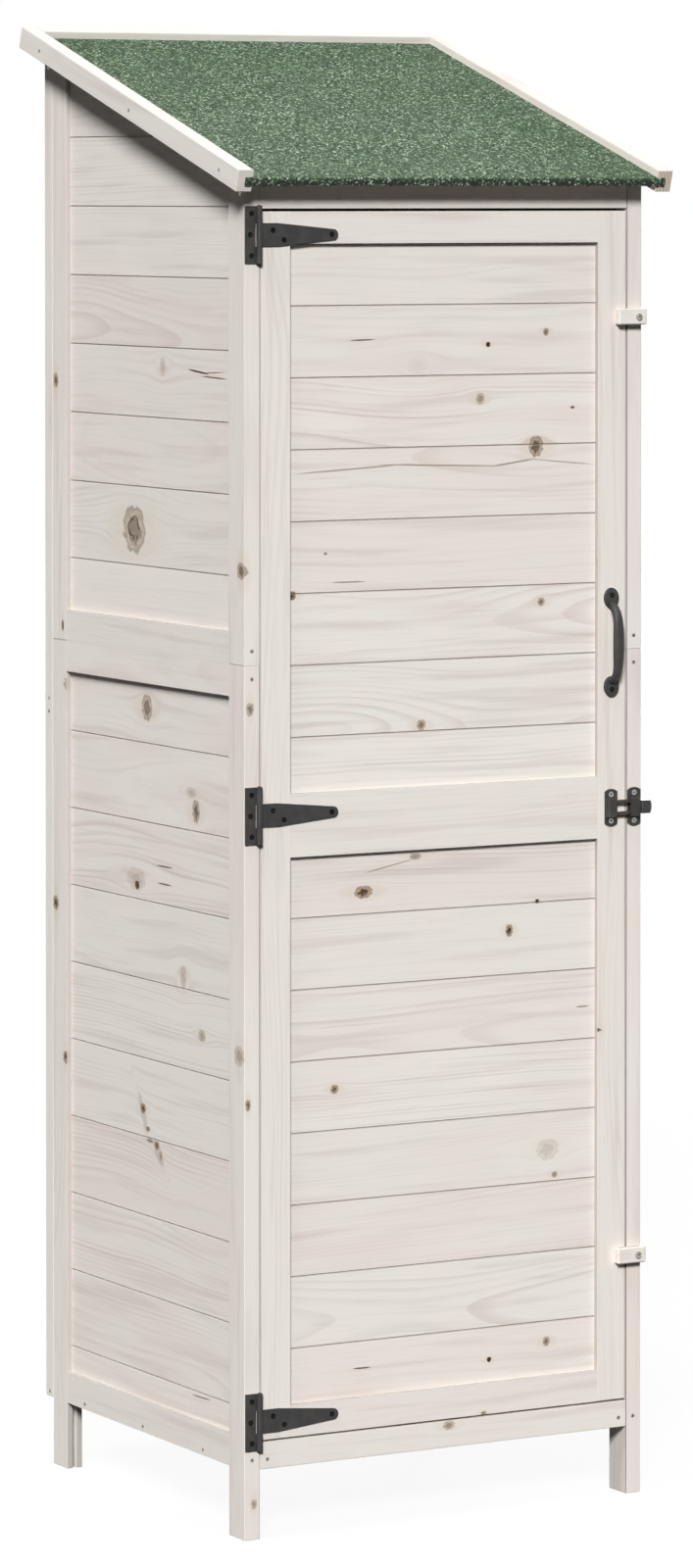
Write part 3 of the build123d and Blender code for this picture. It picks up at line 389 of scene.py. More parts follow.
# Colours of the fittings and screws
COAT = (srgb(50, 49, 49), srgb(61, 60, 59))
COAT_WORN = srgb(104, 103, 102)
BLACKENED = (srgb(12, 12, 12), srgb(20, 20, 20))
ZINC = srgb(178, 176, 171)
ZINC_STAIN = srgb(128, 122, 115)
PEEL_SCALE = 900.0
PEEL_RELIEF = 0.12 * MM
PEEL_BUMP = 0.5
DUST_SCALE = 60.0
DUST_RANGE = (0.4, 0.7)
COAT_WEAR = (0.35, 0.6, 0.1, 0.55)
SCRATCH_STRETCH = (1.0, 1.0, 9.0)
SCRATCH_SCALE = 700.0
SCRATCH_RELIEF = 0.05 * MM
SCRATCH_BUMP = 0.4
STAIN_SCALE = 240.0
STAIN_RANGE = (0.45, 0.7)
ZINC_METAL = 0.85
ROUGH_RANGE = (0.3, 0.7)  # of the noise that makes a metal smoother or rougher, by so much
COAT_SMOOTHER, COAT_ROUGHER = 0.06, 0.1
ZINC_SMOOTHER, ZINC_ROUGHER = 0.08, 0.12


class Graph:
    """The node tree of a material or of the world, with short calls for the nodes used here."""

    def __init__(self, owner):
        owner.use_nodes = True
        self.owner = owner
        self.tree = owner.node_tree
        self.tree.nodes.clear()

    def add(self, kind, inputs=(), **settings):
        """A node; an input is a value or the output of another node."""
        node = self.tree.nodes.new(kind)
        for name, value in settings.items():
            setattr(node, name, value)
        for key, value in dict(inputs).items():
            if isinstance(value, bpy.types.NodeSocket):
                self.tree.links.new(value, node.inputs[key])
            else:
                node.inputs[key].default_value = value
        return node

    def math(self, operation, *values):
        return self.add("ShaderNodeMath", enumerate(values), operation=operation).outputs[0]

    def largest(self, values):
        total = values[0]
        for value in values[1:]:
            total = self.math("MAXIMUM", total, value)
        return total

    def vector(self, operation, *values):
        node = self.add("ShaderNodeVectorMath", enumerate(values), operation=operation)
        return node.outputs["Value" if operation in ("LENGTH", "DOT_PRODUCT") else "Vector"]

    def attribute(self, name):
        return self.add("ShaderNodeAttribute", attribute_name=name).outputs["Vector"]

    def object_place(self):
        return self.add("ShaderNodeTexCoord").outputs["Object"]

    def split(self, vector):
        node = self.add("ShaderNodeSeparateXYZ", {0: vector})
        return node.outputs[0], node.outputs[1], node.outputs[2]

    def join(self, x, y, z):
        return self.add("ShaderNodeCombineXYZ", {0: x, 1: y, 2: z}).outputs[0]

    def noise(self, vector, scale, detail=2.0, output="Fac"):
        inputs = {"Vector": vector, "Scale": scale, "Detail": detail}
        return self.add("ShaderNodeTexNoise", inputs).outputs[output]

    def stretched_noise(self, vector, scales, detail, output="Fac"):
        return self.noise(self.vector("MULTIPLY", vector, scales), 1.0, detail, output)

    def cells(self, vector, scale):
        return self.add("ShaderNodeTexVoronoi", {"Vector": vector, "Scale": scale}).outputs

    def smooth(self, value, low, high, start=0.0, end=1.0):
        inputs = {0: value, 1: low, 2: high, 3: start, 4: end}
        return self.add("ShaderNodeMapRange", inputs, interpolation_type="SMOOTHSTEP").outputs[0]

    def mix(self, factor, first, second):
        return self.add("ShaderNodeMix", {0: factor, 6: first, 7: second}, data_type="RGBA").outputs[2]

    def ramp(self, factor, stops):
        node = self.add("ShaderNodeValToRGB", {0: factor})
        elements = node.color_ramp.elements
        while len(elements) < len(stops):
            elements.new(1.0)
        for element, (position, color) in zip(elements, stops):
            element.position = position
            element.color = color
        return node.outputs[0]

    def bump(self, height, distance, strength=1.0):
        inputs = {"Height": height, "Distance": distance, "Strength": strength}
        return self.add("ShaderNodeBump", inputs).outputs[0]

    def shown_ray(self):
        """1 for rays that show the background: from the camera, or by a mirror or glass."""
        path = self.add("ShaderNodeLightPath").outputs
        return self.largest([path["Is Camera Ray"], path["Is Glossy Ray"], path["Is Transmission Ray"]])

    def finish(self, **inputs):
        """The surface shader; an input's name has underscores for spaces."""
        named = {key.replace("_", " "): value for key, value in inputs.items()}
        shader = self.add("ShaderNodeBsdfPrincipled", named)
        self.add("ShaderNodeOutputMaterial", {"Surface": shader.outputs[0]})
        return self.owner


def wandering_grain(g):
    """The grain of a log that leans and wanders, so that rings run out of a board's face."""
    grain = g.attribute("grain")
    along, across, depth = g.split(grain)
    wander = g.vector("SUBTRACT", g.stretched_noise(grain, WANDER_SCALE, 1.0, "Color"), NOISE_MEAN)
    wander_x, wander_y, _ = g.split(wander)
    across = g.math("MULTIPLY_ADD", wander_x, WANDER_ACROSS, across)
    depth = g.math("MULTIPLY_ADD", wander_y, WANDER_DEPTH, depth)
    return along, across, depth


def knot_look(g, place, dark, ringed):
    """How much one knot shows of its brown fill and of its dark heart, rings and rim."""
    wobble = g.noise(place, KNOT_WOBBLE_SCALE)
    distance = g.math("MULTIPLY_ADD", wobble, KNOT_WOBBLE, g.vector("LENGTH", place))
    inside = g.math("MULTIPLY", g.smooth(distance, *KNOT_EDGE), dark)
    fill = g.math("MULTIPLY", inside, g.math("MULTIPLY_ADD", ringed, *FILL_BY_RINGED))
    blotch = g.math("MULTIPLY_ADD", g.noise(place, BLOTCH_SCALE, 3.0), BLOTCH_WOBBLE, distance)
    heart = g.math("MULTIPLY_ADD", ringed, *HEART_BY_RINGED)
    heart = g.math("MULTIPLY", g.smooth(blotch, *KNOT_HEART), heart)
    solid = g.math("MULTIPLY_ADD", ringed, *SOLID_BY_RINGED)
    broken = g.math("MULTIPLY", g.smooth(g.noise(place, BLOTCH_SCALE), *KNOT_BREAKS), ringed)
    pulse = g.math("SINE", g.math("MULTIPLY", distance, KNOT_RINGS))
    rings = g.math("MULTIPLY", g.smooth(pulse, *KNOT_PULSE), broken)
    rim = g.math("MULTIPLY", g.smooth(distance, *RIM_INSIDE), g.smooth(distance, *RIM_OUTSIDE))
    marks = g.largest([rings, g.math("MULTIPLY", rim, RIM_SHARE), heart, solid])
    return fill, g.math("MULTIPLY", marks, inside)


def knotted_grain(g, across, depth):
    """The grain as the knots push it aside, and the fill, marks and halo of all knots."""
    fills, marks, halos = [], [], []
    for slot in KNOT_SLOTS:
        place = g.attribute(f"knot_{slot}")
        radius, dark, ringed = g.split(g.attribute(f"knot_{slot}_look"))
        _, off_across, off_depth = g.split(place)
        stretched = g.vector("MULTIPLY", place, KNOT_STRETCH)
        spread = g.math("MAXIMUM", g.vector("DOT_PRODUCT", stretched, stretched), KNOT_NEAREST)
        push = g.math("DIVIDE", radius, spread)
        across = g.math("SUBTRACT", across, g.math("MULTIPLY", push, off_across))
        depth = g.math("SUBTRACT", depth, g.math("MULTIPLY", push, off_depth))
        fill, mark = knot_look(g, place, dark, ringed)
        fills.append(fill)
        marks.append(mark)
        halos.append(g.math("MULTIPLY", g.smooth(g.vector("LENGTH", stretched), *KNOT_HALO_EDGE), dark))
    return across, depth, g.largest(fills), g.largest(marks), g.largest(halos)


def year_rings(g, grain, tone):
    """Late wood, which darkens to a thin band at the end of each year, and where the wash lets it show."""
    along, across, depth = g.split(grain)
    squares = g.math("ADD", g.math("MULTIPLY", across, across), g.math("MULTIPLY", depth, depth))
    radius = g.math("SQRT", squares)
    jitter = g.math("MULTIPLY", g.stretched_noise(grain, RING_SCALE, 1.0), RING_JITTER)
    ring = g.math("FRACT", g.math("ADD", g.math("DIVIDE", radius, RING_STEP), jitter))
    late = g.math("MULTIPLY", g.smooth(ring, *LATE_RISE), g.smooth(ring, *LATE_FALL))
    patch_along = g.math("MULTIPLY", along, PATCH_ALONG)
    patch_place = g.join(patch_along, g.math("MULTIPLY", radius, PATCH_ACROSS), tone)
    patches = g.smooth(g.noise(patch_place, PATCH_SCALE, 1.0), *PATCH_RANGE)
    return late, g.math("MULTIPLY", late, patches)


def face_color(g, wash, late, warmth, face_kind):
    """Browner end grain, and painted shade on recess edges and in seams, in place of the wash."""
    end_face, worn, recess = face_kind
    end_color = g.mix(g.math("MULTIPLY", late, END_RING_SHARE), END_GRAIN, END_RING)
    end_share = g.math("MULTIPLY", end_face, g.math("MULTIPLY_ADD", warmth, *END_BY_WARMTH))
    color = g.mix(end_share, wash, end_color)
    # painted shade: on recess edges, and darker still in the seams
    color = g.mix(g.math("MULTIPLY", recess, RECESS_SHADE_SHARE), color, RECESS_SHADE)
    return g.mix(g.math("MULTIPLY", worn, recess), color, SEAM_SHADE)


def whitewashed_pine():
    """Sawn pine under a thin white wash: year rings, fibres, knots and browner end grain."""
    g = Graph(bpy.data.materials.new("whitewashed_pine"))
    tone, warmth, contrast = g.split(g.attribute("board"))
    face_kind = g.split(g.attribute("face_kind"))
    worn = face_kind[1]
    along, across, depth = wandering_grain(g)
    across, depth, core, marks, halo = knotted_grain(g, across, depth)
    grain = g.join(along, across, depth)
    late, lines = year_rings(g, grain, tone)
    lines = g.math("MULTIPLY", lines, contrast)

    # Fibres and sparse dark streaks along the grain, and broad soft bands
    fibres = g.stretched_noise(grain, FIBRE_SCALE, 3.0)
    streaks = g.smooth(g.stretched_noise(grain, STREAK_SCALE, 1.0), *STREAK_RANGE)
    streaks = g.math("MULTIPLY", streaks, g.math("MULTIPLY", contrast, STREAK_SHARE))
    cloud = g.stretched_noise(grain, CLOUD_SCALE, 2.0)
    bands = g.smooth(g.stretched_noise(grain, BAND_SCALE, 2.0), *BAND_RANGE)

    wash = g.mix(tone, WASH, WASH_DULL)
    wash = g.mix(g.smooth(cloud, *CLOUD_RANGE), wash, g.mix(warmth, CLOUD_COOL, CLOUD_WARM))
    wash = g.mix(bands, wash, BAND)
    wash = g.mix(lines, wash, LATE_WOOD)
    wash = g.mix(streaks, wash, STREAK)
    wash = g.mix(g.smooth(fibres, *FIBRE_RANGE), wash, FIBRE)
    wash = g.mix(g.math("MULTIPLY", halo, HALO_SHARE), wash, KNOT_HALO)
    wash = g.mix(g.math("MULTIPLY", core, FILL_SHARE), wash, KNOT_FILL)
    wash = g.mix(g.math("MINIMUM", g.math("MULTIPLY", marks, MARK_SHARE), 1.0), wash, KNOT_MARK)
    wash = g.mix(g.math("MULTIPLY", worn, g.smooth(cloud, *WEAR_RANGE)), wash, WORN_WASH)
    color = face_color(g, wash, late, warmth, face_kind)

    line_relief = g.math("MULTIPLY", lines, LINE_RELIEF)
    relief = g.math("ADD", line_relief, g.math("MULTIPLY", fibres, FIBRE_RELIEF))
    relief = g.math("SUBTRACT", relief, g.math("MULTIPLY", marks, MARK_RELIEF))
    rough = g.smooth(fibres, *PINE_ROUGHNESS)
    normal = g.bump(relief, PINE_RELIEF, PINE_BUMP)
    return g.finish(Base_Color=color, Roughness=rough, Specular_IOR_Level=PINE_GLOSS, Normal=normal)


def mineral_felt():
    """Bitumen felt with green mineral granules, some dark and some bright."""
    g = Graph(bpy.data.materials.new("mineral_felt"))
    place = g.object_place()
    cells = g.cells(place, 1 / GRANULE)
    pick = g.split(cells["Color"])[0]
    patches = g.smooth(g.noise(place, FELT_PATCH_SCALE, 3.0), *FELT_PATCH_RANGE)
    color = g.mix(patches, g.ramp(pick, GRANULES), FELT_PATCH)
    gap = g.smooth(cells["Distance"], *GRANULE_GAP)
    hem = g.split(g.attribute("hem"))[0]
    lost = g.math("MULTIPLY", hem, g.smooth(pick, *HEM_LOSS))
    color = g.mix(g.math("MAXIMUM", g.math("MULTIPLY", gap, GAP_SHARE), lost), color, BITUMEN)
    height = g.math("SUBTRACT", g.math("MULTIPLY", pick, GRANULE_HEIGHT), gap)
    rough = g.smooth(pick, *FELT_ROUGHNESS)
    return g.finish(Base_Color=color, Roughness=rough, Normal=g.bump(height, GRANULE_RELIEF))


def black_coat(name, colors, roughness, gloss):
    """A black coat on iron: fine orange peel, faint wear and a little dust."""
    g = Graph(bpy.data.materials.new(name))
    place = g.object_place()
    worn = g.split(g.attribute("face_kind"))[1]
    peel = g.noise(place, PEEL_SCALE, 3.0)
    dust = g.noise(place, DUST_SCALE, 4.0)
    color = g.mix(g.smooth(dust, *DUST_RANGE), *colors)
    color = g.mix(g.math("MULTIPLY", worn, g.smooth(dust, *COAT_WEAR)), color, COAT_WORN)
    rough = g.smooth(dust, *ROUGH_RANGE, roughness - COAT_SMOOTHER, roughness + COAT_ROUGHER)
    normal = g.bump(peel, PEEL_RELIEF, PEEL_BUMP)
    return g.finish(Base_Color=color, Roughness=rough, Specular_IOR_Level=gloss, Normal=normal)


def dull_steel(name, color, roughness):
    """Zinc-plated screw steel with faint scratches."""
    g = Graph(bpy.data.materials.new(name))
    place = g.object_place()
    scratch = g.noise(g.vector("MULTIPLY", place, SCRATCH_STRETCH), SCRATCH_SCALE, 3.0)
    stain = g.noise(place, STAIN_SCALE, 3.0)
    tint = g.mix(g.smooth(stain, *STAIN_RANGE), color, ZINC_STAIN)
    rough = g.smooth(scratch, *ROUGH_RANGE, roughness - ZINC_SMOOTHER, roughness + ZINC_ROUGHER)
    normal = g.bump(scratch, SCRATCH_RELIEF, SCRATCH_BUMP)
    return g.finish(Base_Color=tint, Metallic=ZINC_METAL, Roughness=rough, Normal=normal)


def add_to_scene(name, data):
    """A new object with the given mesh, camera or lamp."""
    item = bpy.data.objects.new(name, data)
    bpy.context.scene.collection.objects.link(item)
    return item


def make_camera():
    """The photograph's view."""
    data = bpy.data.cameras.new("photo_camera")
    data.sensor_width = SENSOR
    data.lens = LENS
    data.shift_y = CAMERA_SHIFT
    data.clip_end = CAMERA_REACH
    camera = add_to_scene("photo_camera", data)
    camera.location = CAMERA_PLACE
    camera.rotation_euler = (math.pi / 2 - CAMERA_PITCH, 0.0, -CAMERA_YAW)
    bpy.context.scene.camera = camera
    bpy.context.view_layer.update()
    return camera


def photo_hit(camera, pixel):
    """The CAD node, point and face normal that a pixel of the photograph shows."""
    across = (pixel[0] - PHOTO_WIDTH / 2) / PHOTO_HEIGHT
    down = (pixel[1] - PHOTO_HEIGHT / 2) / PHOTO_HEIGHT
    local = Vector((across, CAMERA_SHIFT - down, -LENS / SENSOR))
    heading = camera.matrix_world.to_3x3() @ local.normalized()
    graph = bpy.context.evaluated_depsgraph_get()
    hit, point, normal, _, node, _ = bpy.context.scene.ray_cast(graph, camera.location, heading)
    return (node.name, point, normal) if hit else None


def find_knots(camera):
    """The photograph's knots, on the CAD model."""
    knots = []
    for pixel, half_along, half_across, dark, ringed in PHOTO_KNOTS.values():
        found = photo_hit(camera, pixel)
        if found:
            knots.append(PhotoKnot(*found, half_along * MM, half_across * MM, dark, ringed))
    return knots


def find_lines(camera):
    """The photograph's resin lines and cracks, on the CAD model."""
    lines = []
    for first_pixel, last_pixel, half_width, dark in PHOTO_LINES.values():
        first, last = photo_hit(camera, first_pixel), photo_hit(camera, last_pixel)
        if first and last:
            lines.append(PhotoLine(first[0], first[1], last[1], half_width * MM, dark))
    return lines


def sun(name, travel, strength, angle):
    """A far lamp whose light travels in the given direction; the angle makes its shadows soft."""
    data = bpy.data.lights.new(name, "SUN")
    data.energy = strength
    data.angle = angle
    lamp = add_to_scene(name, data)
    lamp.rotation_euler = Vector(travel).to_track_quat("-Z", "Y").to_euler()


def make_sky():
    """A white backdrop whose light on the object comes mostly from above."""
    world = bpy.data.worlds.new("studio_sky")
    bpy.context.scene.world = world
    g = Graph(world)
    height = g.split(g.add("ShaderNodeTexCoord").outputs["Generated"])[2]
    strength = g.smooth(height, *SKY_RISE, SKY_LOW, SKY_HIGH)
    light = g.add("ShaderNodeBackground", {"Color": SKY_COLOR, "Strength": strength})
    white = g.add("ShaderNodeBackground", {"Color": WHITE})
    both = g.add("ShaderNodeMixShader", {0: g.shown_ray(), 1: light.outputs[0], 2: white.outputs[0]})
    g.add("ShaderNodeOutputWorld", {"Surface": both.outputs[0]})


def make_floor():
    """A pale floor: white to the eye with a faint shadow, and a quiet grey for bounced light."""
    corners = [(-FLOOR_HALF, -FLOOR_HALF, 0), (FLOOR_HALF, -FLOOR_HALF, 0)]
    corners += [(FLOOR_HALF, FLOOR_HALF, 0), (-FLOOR_HALF, FLOOR_HALF, 0)]
    mesh = bpy.data.meshes.new("floor")
    mesh.from_pydata(corners, [], [(0, 1, 2, 3)])
    g = Graph(bpy.data.materials.new("pale_floor"))
    quiet = g.add("ShaderNodeBsdfDiffuse", {"Color": FLOOR_BOUNCE})
    shade = g.add("ShaderNodeBsdfDiffuse", {"Color": FLOOR_SHADE})
    glow = g.add("ShaderNodeEmission", {"Strength": FLOOR_GLOW})
    pale = g.add("ShaderNodeAddShader", {0: shade.outputs[0], 1: glow.outputs[0]})
    both = g.add("ShaderNodeMixShader", {0: g.shown_ray(), 1: quiet.outputs[0], 2: pale.outputs[0]})
    g.add("ShaderNodeOutputMaterial", {"Surface": both.outputs[0]})
    mesh.materials.append(g.owner)
    floor = add_to_scene("floor", mesh)


def islands(bm):
    """The separate solids of a mesh, each as a list of faces."""
    left = set(bm.faces)
    groups = []
    for start in bm.faces:
        if start not in left:
            continue
        left.discard(start)
        group = [start]
        for face in group:
            for edge in face.edges:
                for other in edge.link_faces:
                    if other in left:
                        left.discard(other)
                        group.append(other)
        groups.append(group)
    return groups


def eased_copy(name, width, sharp, shortest):
    """A welded copy of a CAD node's mesh with its longer sharp edges rounded."""
    bm = bmesh.new()
    bm.from_mesh(NODES[name].data)
    bmesh.ops.remove_doubles(bm, verts=bm.verts, dist=WELD)
    bmesh.ops.dissolve_limit(bm, angle_limit=FLAT, verts=bm.verts, edges=bm.edges)
    kind = bm.faces.layers.float_vector.new("face_kind")
    edges = []
    for edge in bm.edges:
        if edge.calc_length() > shortest and edge.is_manifold and edge.calc_face_angle() > sharp:
            edges.append(edge)
    made = bmesh.ops.bevel(bm, geom=edges, offset=width, segments=EASE_SEGMENTS, profile=0.5,
                           affect="EDGES", clamp_overlap=True)
    for face in made["faces"]:
        face[kind] = WORN_EDGE
    return bm


def place_piece(name, bm, material, smooth_angle=SMOOTH_ANGLE):
    """Make a mesh the piece that stands for a CAD node."""
    mesh = bpy.data.meshes.new(name + "_shown")
    bm.to_mesh(mesh)
    bm.free()
    mesh.shade_smooth()
    mesh.set_sharp_from_angle(angle=smooth_angle)
    mesh.materials.append(material)
    piece = add_to_scene(name + "_shown", mesh)
    even = piece.modifiers.new("even_faces", "WEIGHTED_NORMAL")
    even.keep_sharp = True
    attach(piece, NODES[name]["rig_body"])
    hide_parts(name)
    return piece


def extent(points):
    """The low and high corner of the box around some points."""
    low = Vector([min(point[i] for point in points) for i in range(3)])
    high = Vector([max(point[i] for point in points) for i in range(3)])
    return low, high


def measure_board(name, turn, verts):
    """A board's middle, size and directions in its own turned frame."""
    low, high = extent([turn @ vert.co for vert in verts])
    size = high - low
    order = sorted(range(3), key=lambda i: -size[i])
    return Board(name, turn, order, (low + high) / 2, size)


def by_grain(board, values):
    """Three values in the order of the board's long, wide and thin directions."""
    return [values[i] for i in board.order]


def board_look(draw, name):
    """A board's place in the grain, the pith of its log, and its tone, warmth and contrast."""
    shift = draw.uniform(0, GRAIN_SHIFT)
    pith_across = draw.uniform(-PITH_ACROSS, PITH_ACROSS) * MM
    pith_depth = draw.choice((-1, 1)) * draw.uniform(*PITH_DEPTH) * MM
    plain = 1.0 if name.endswith("_boards") else FRAME_PLAINNESS
    warmth = END_WARMTH.get(name, draw.random())
    tone = 0.5 + plain * draw.uniform(-0.5, 0.5)
    contrast = draw.uniform(*CONTRAST) * plain
    return shift, (pith_across, pith_depth), (tone, warmth, contrast)


def hidden_knots(draw, board):
    """Knots for a board that the photograph doesn't show."""
    length, width, _ = by_grain(board, board.size)
    knots = []
    for _ in range(HIDDEN_KNOTS):
        if draw.random() < HIDDEN_KNOT_ODDS:
            along = draw.uniform(-HIDDEN_ALONG, HIDDEN_ALONG) * length
            across = draw.uniform(-HIDDEN_ACROSS, HIDDEN_ACROSS) * width
            radius = draw.uniform(*HIDDEN_RADIUS) * MM
            dark = draw.uniform(*HIDDEN_DARK)
            ringed = draw.uniform(*HIDDEN_RINGED)
            radii = (radius * draw.uniform(*HIDDEN_LENGTH), radius, FAR)
            knots.append(Knot((along, across, 0.0), radii, 0.0, radius, dark, ringed))
    return knots


def photo_lines(board):
    """The photograph's resin lines and cracks that lie on one board, each as a thin leaning knot."""
    lines = []
    for line in LINES:
        first, last = board.turn @ line.start - board.middle, board.turn @ line.end - board.middle
        offset = (first + last) / 2
        if line.node != board.name or any(abs(offset[i]) > board.size[i] / 2 + MM for i in range(3)):
            continue
        run, rise, _ = by_grain(board, last - first)
        radii = (abs(run) / 2, line.half_width, FAR)
        lines.append(Knot(by_grain(board, offset), radii, rise / run, line.half_width, line.dark, 0.0))
    return lines


def photo_knots(board):
    """The photograph's knots that lie on one board."""
    knots = []
    for knot in KNOTS:
        offset = board.turn @ knot.point - board.middle
        reach = [MM, MM, MM]
        reach[board.order[1]] = knot.half_across
        if knot.node != board.name or any(abs(offset[i]) > board.size[i] / 2 + reach[i] for i in range(3)):
            continue
        facing = [abs(share) for share in by_grain(board, board.turn @ knot.normal)]
        through = max(range(3), key=lambda i: facing[i])
        radii = [knot.half_along, knot.half_across, knot.half_across]
        if through == 2 and board.size[board.order[2]] < THIN_BOARD:
            radii[2] = FAR
        elif through == 1:
            radii[1] = EDGE_KNOT_REACH * knot.half_across
        place = by_grain(board, offset)
        knots.append(Knot(place, radii, 0.0, knot.half_across, knot.dark, knot.ringed))
    return knots


def board_knots(draw, board):
    """The knots of one board, the largest first."""
    knots = photo_knots(board) + photo_lines(board)
    if not knots and board.name not in SEEN_NODES:
        knots = hidden_knots(draw, board)
    return sorted(knots, key=lambda knot: -knot.radius)[:len(KNOT_SLOTS)]


def mark_knots(vert, knot_layers, knots, along, across, depth):
    """Note on a vertex where it lies from each knot, in the knot's radii, and the knot's look."""
    for (place_layer, look_layer), knot in zip(knot_layers, knots):
        leaning = across - knot.lean * (along - knot.place[0])
        offsets = zip((along, leaning, depth), knot.place, knot.radii)
        vert[place_layer] = [(here - there) / radius for here, there, radius in offsets]
        vert[look_layer] = (knot.radius, knot.dark, knot.ringed)
    for place_layer, _ in knot_layers[len(knots):]:
        vert[place_layer] = (FAR, FAR, FAR)


def faces_panel(face, board):
    """Whether an edge can border a panel: any edge of a rail, or the inner edge of an upright."""
    inwards = -face.calc_center_median()
    inwards.z = 0.0
    return board.order[0] != 2 or face.normal.dot(inwards) > 0.0


def stack_side(name):
    """The side, along Z, on which a piece of a lower or an upper side frame meets the other frame."""
    if name.endswith(("_post_lower", "_lower_top_rail")):
        return 1
    return -1 if name.endswith(("_post_upper", "_upper_bottom_rail")) else 0


def seam_shade_share(face, name, facing_across):
    """How much painted shade a face shows in a seam: between boards, beside the door or between frames."""
    least, most = EASED_FACING
    if name.endswith("_boards"):
        return BOARD_SEAM_SHADE if facing_across > least else 0.0
    if least < face.normal.x * GAP_SIDES.get(name, 0) < most:
        return DOOR_GAP_SHADE
    if least < face.normal.z * stack_side(name) < most:
        return FRONT_SEAM_SHADE if abs(face.normal.y) > abs(face.normal.x) else FRAME_SEAM_SHADE
    return 0.0


def mark_face(face, kind, board):
    """Note what a face of a board is, where it isn't plain."""
    facing = [abs(share) for share in by_grain(board, board.turn @ face.normal)]
    seam = seam_shade_share(face, board.name, facing[1])
    narrow = facing[1] > FACING and face.calc_area() < RECESS_EDGE * board.size[board.order[0]]
    if facing[0] > FACING:
        face[kind] = END_FACE
    elif seam:
        # a seam's face: an eased edge that gets painted shade by the seam's share
        face[kind] = (0.0, 1.0, seam)
    elif narrow and faces_panel(face, board):
        # a narrow edge beside a recessed panel gets painted shade
        face[kind] = RECESS_SHADE_FACE


def dress_timber(name, tilt=0.0):
    """Timber: eased edges, and for each board its own grain, tone and knots."""
    bm = eased_copy(name, EASE, SHARP, EASE_SHORTEST)
    kind_layer = bm.faces.layers.float_vector["face_kind"]
    new_layer = bm.verts.layers.float_vector.new
    grain_layer = new_layer("grain")
    board_layer = new_layer("board")
    knot_layers = [(new_layer(f"knot_{slot}"), new_layer(f"knot_{slot}_look")) for slot in KNOT_SLOTS]
    turn = Matrix.Rotation(-tilt, 3, "X")
    draw = random.Random(name)
    for faces in islands(bm):
        verts = {vert for face in faces for vert in face.verts}
        board = measure_board(name, turn, verts)
        shift, pith, look = board_look(draw, name)
        knots = board_knots(draw, board)
        for vert in verts:
            along, across, depth = by_grain(board, turn @ vert.co - board.middle)
            vert[grain_layer] = (along + shift, across - pith[0], depth - pith[1])
            vert[board_layer] = look
            mark_knots(vert, knot_layers, knots, along, across, depth)
        for face in faces:
            mark_face(face, kind_layer, board)
    return place_piece(name, bm, PINE)


def dress_metal(name):
    """An iron fitting with eased edges."""
    return place_piece(name, eased_copy(name, METAL_EASE, METAL_SHARP, METAL_SHORTEST), BLACK)


def in_recess(face, tip, axis, length, reach):
    """Whether a face of a screw lies in its cross recess, up to a reach from the axis."""
    offset = face.calc_center_median() - tip
    along = offset.dot(axis)
    sideways = (offset - along * axis).length
    return RECESS_LIP < length - along < RECESS_DEPTH and sideways < reach


def dress_screws(name):
    """Screws: black ones in hinges and handle, plain steel elsewhere with painted shade in the cross
    recess.
    """
    bm = eased_copy(name, SCREW_EASE, METAL_SHARP, SCREW_SHORTEST)
    for faces in islands(bm):
        points = list({vert.co.copy().freeze() for face in faces for vert in face.verts})
        middle = sum(points, Vector()) / len(points)
        reach = max((point - middle).length for point in points)
        ends = [point for point in points if (point - middle).length > reach - TIP_SPREAD]
        tip = sum(ends, Vector()) / len(ends)
        axis = (middle - tip).normalized()
        length = max((point - tip).dot(axis) for point in points)
        head = max((point - tip - (point - tip).dot(axis) * axis).length for point in points)
        in_fitting = name.endswith("_fitting_screws")
        is_black = in_fitting and (middle.x < HINGE_SIDE or middle.z > LATCH_TOP)
        recess = head * SMALL_RECESS_SHARES.get(name, RECESS_SHARE)
        for face in faces:
            # black screws are black all over; a steel screw gets painted shade in its cross recess
            if is_black or in_recess(face, tip, axis, length, recess):
                face.material_index = 1
    piece = place_piece(name, bm, STEEL)
    piece.data.materials.append(JET_AND_RECESS_SHADE)
    return piece


def grid_mesh(bm, rows):
    """A closed skin over rows of points: each row is a closed loop, and the end rows are capped."""
    loops = [[bm.verts.new(point) for point in row] for row in rows]
    for first, second in zip(loops, loops[1:]):
        for i in range(len(first)):
            j = (i + 1) % len(first)
            bm.faces.new((first[i], first[j], second[j], second[i]))
    bm.faces.new(list(reversed(loops[0])))
    bm.faces.new(loops[-1])


def roughness(point, size, scale):
    """A small seeded bump for a point on the felt."""
    broad = noise.noise(Vector(point) * scale)
    return size * (broad + FINE_SHARE * noise.noise(Vector(point) * scale * FINE_SCALE))


def sheet_rows(half, front, back, top, bottom):
    """The felt's sheet as loops from left to right: to the back over its uneven top, and back below."""
    steps = round(2 * half / FELT_STEP)
    runs = round((back - front) / FELT_STEP)
    rows = []
    for i in range(steps + 1):
        x = -half + 2 * half * i / steps
        row = []
        for j in range(runs + 1):
            y = front + (back - front) * j / runs
            row.append((x, y, top + roughness((x, y, 0), FELT_ROUGH, FELT_SCALE) - FELT_ROUGH))
        row.append((x, back, bottom))
        row.append((x, front, bottom))
        rows.append(row)
    return rows


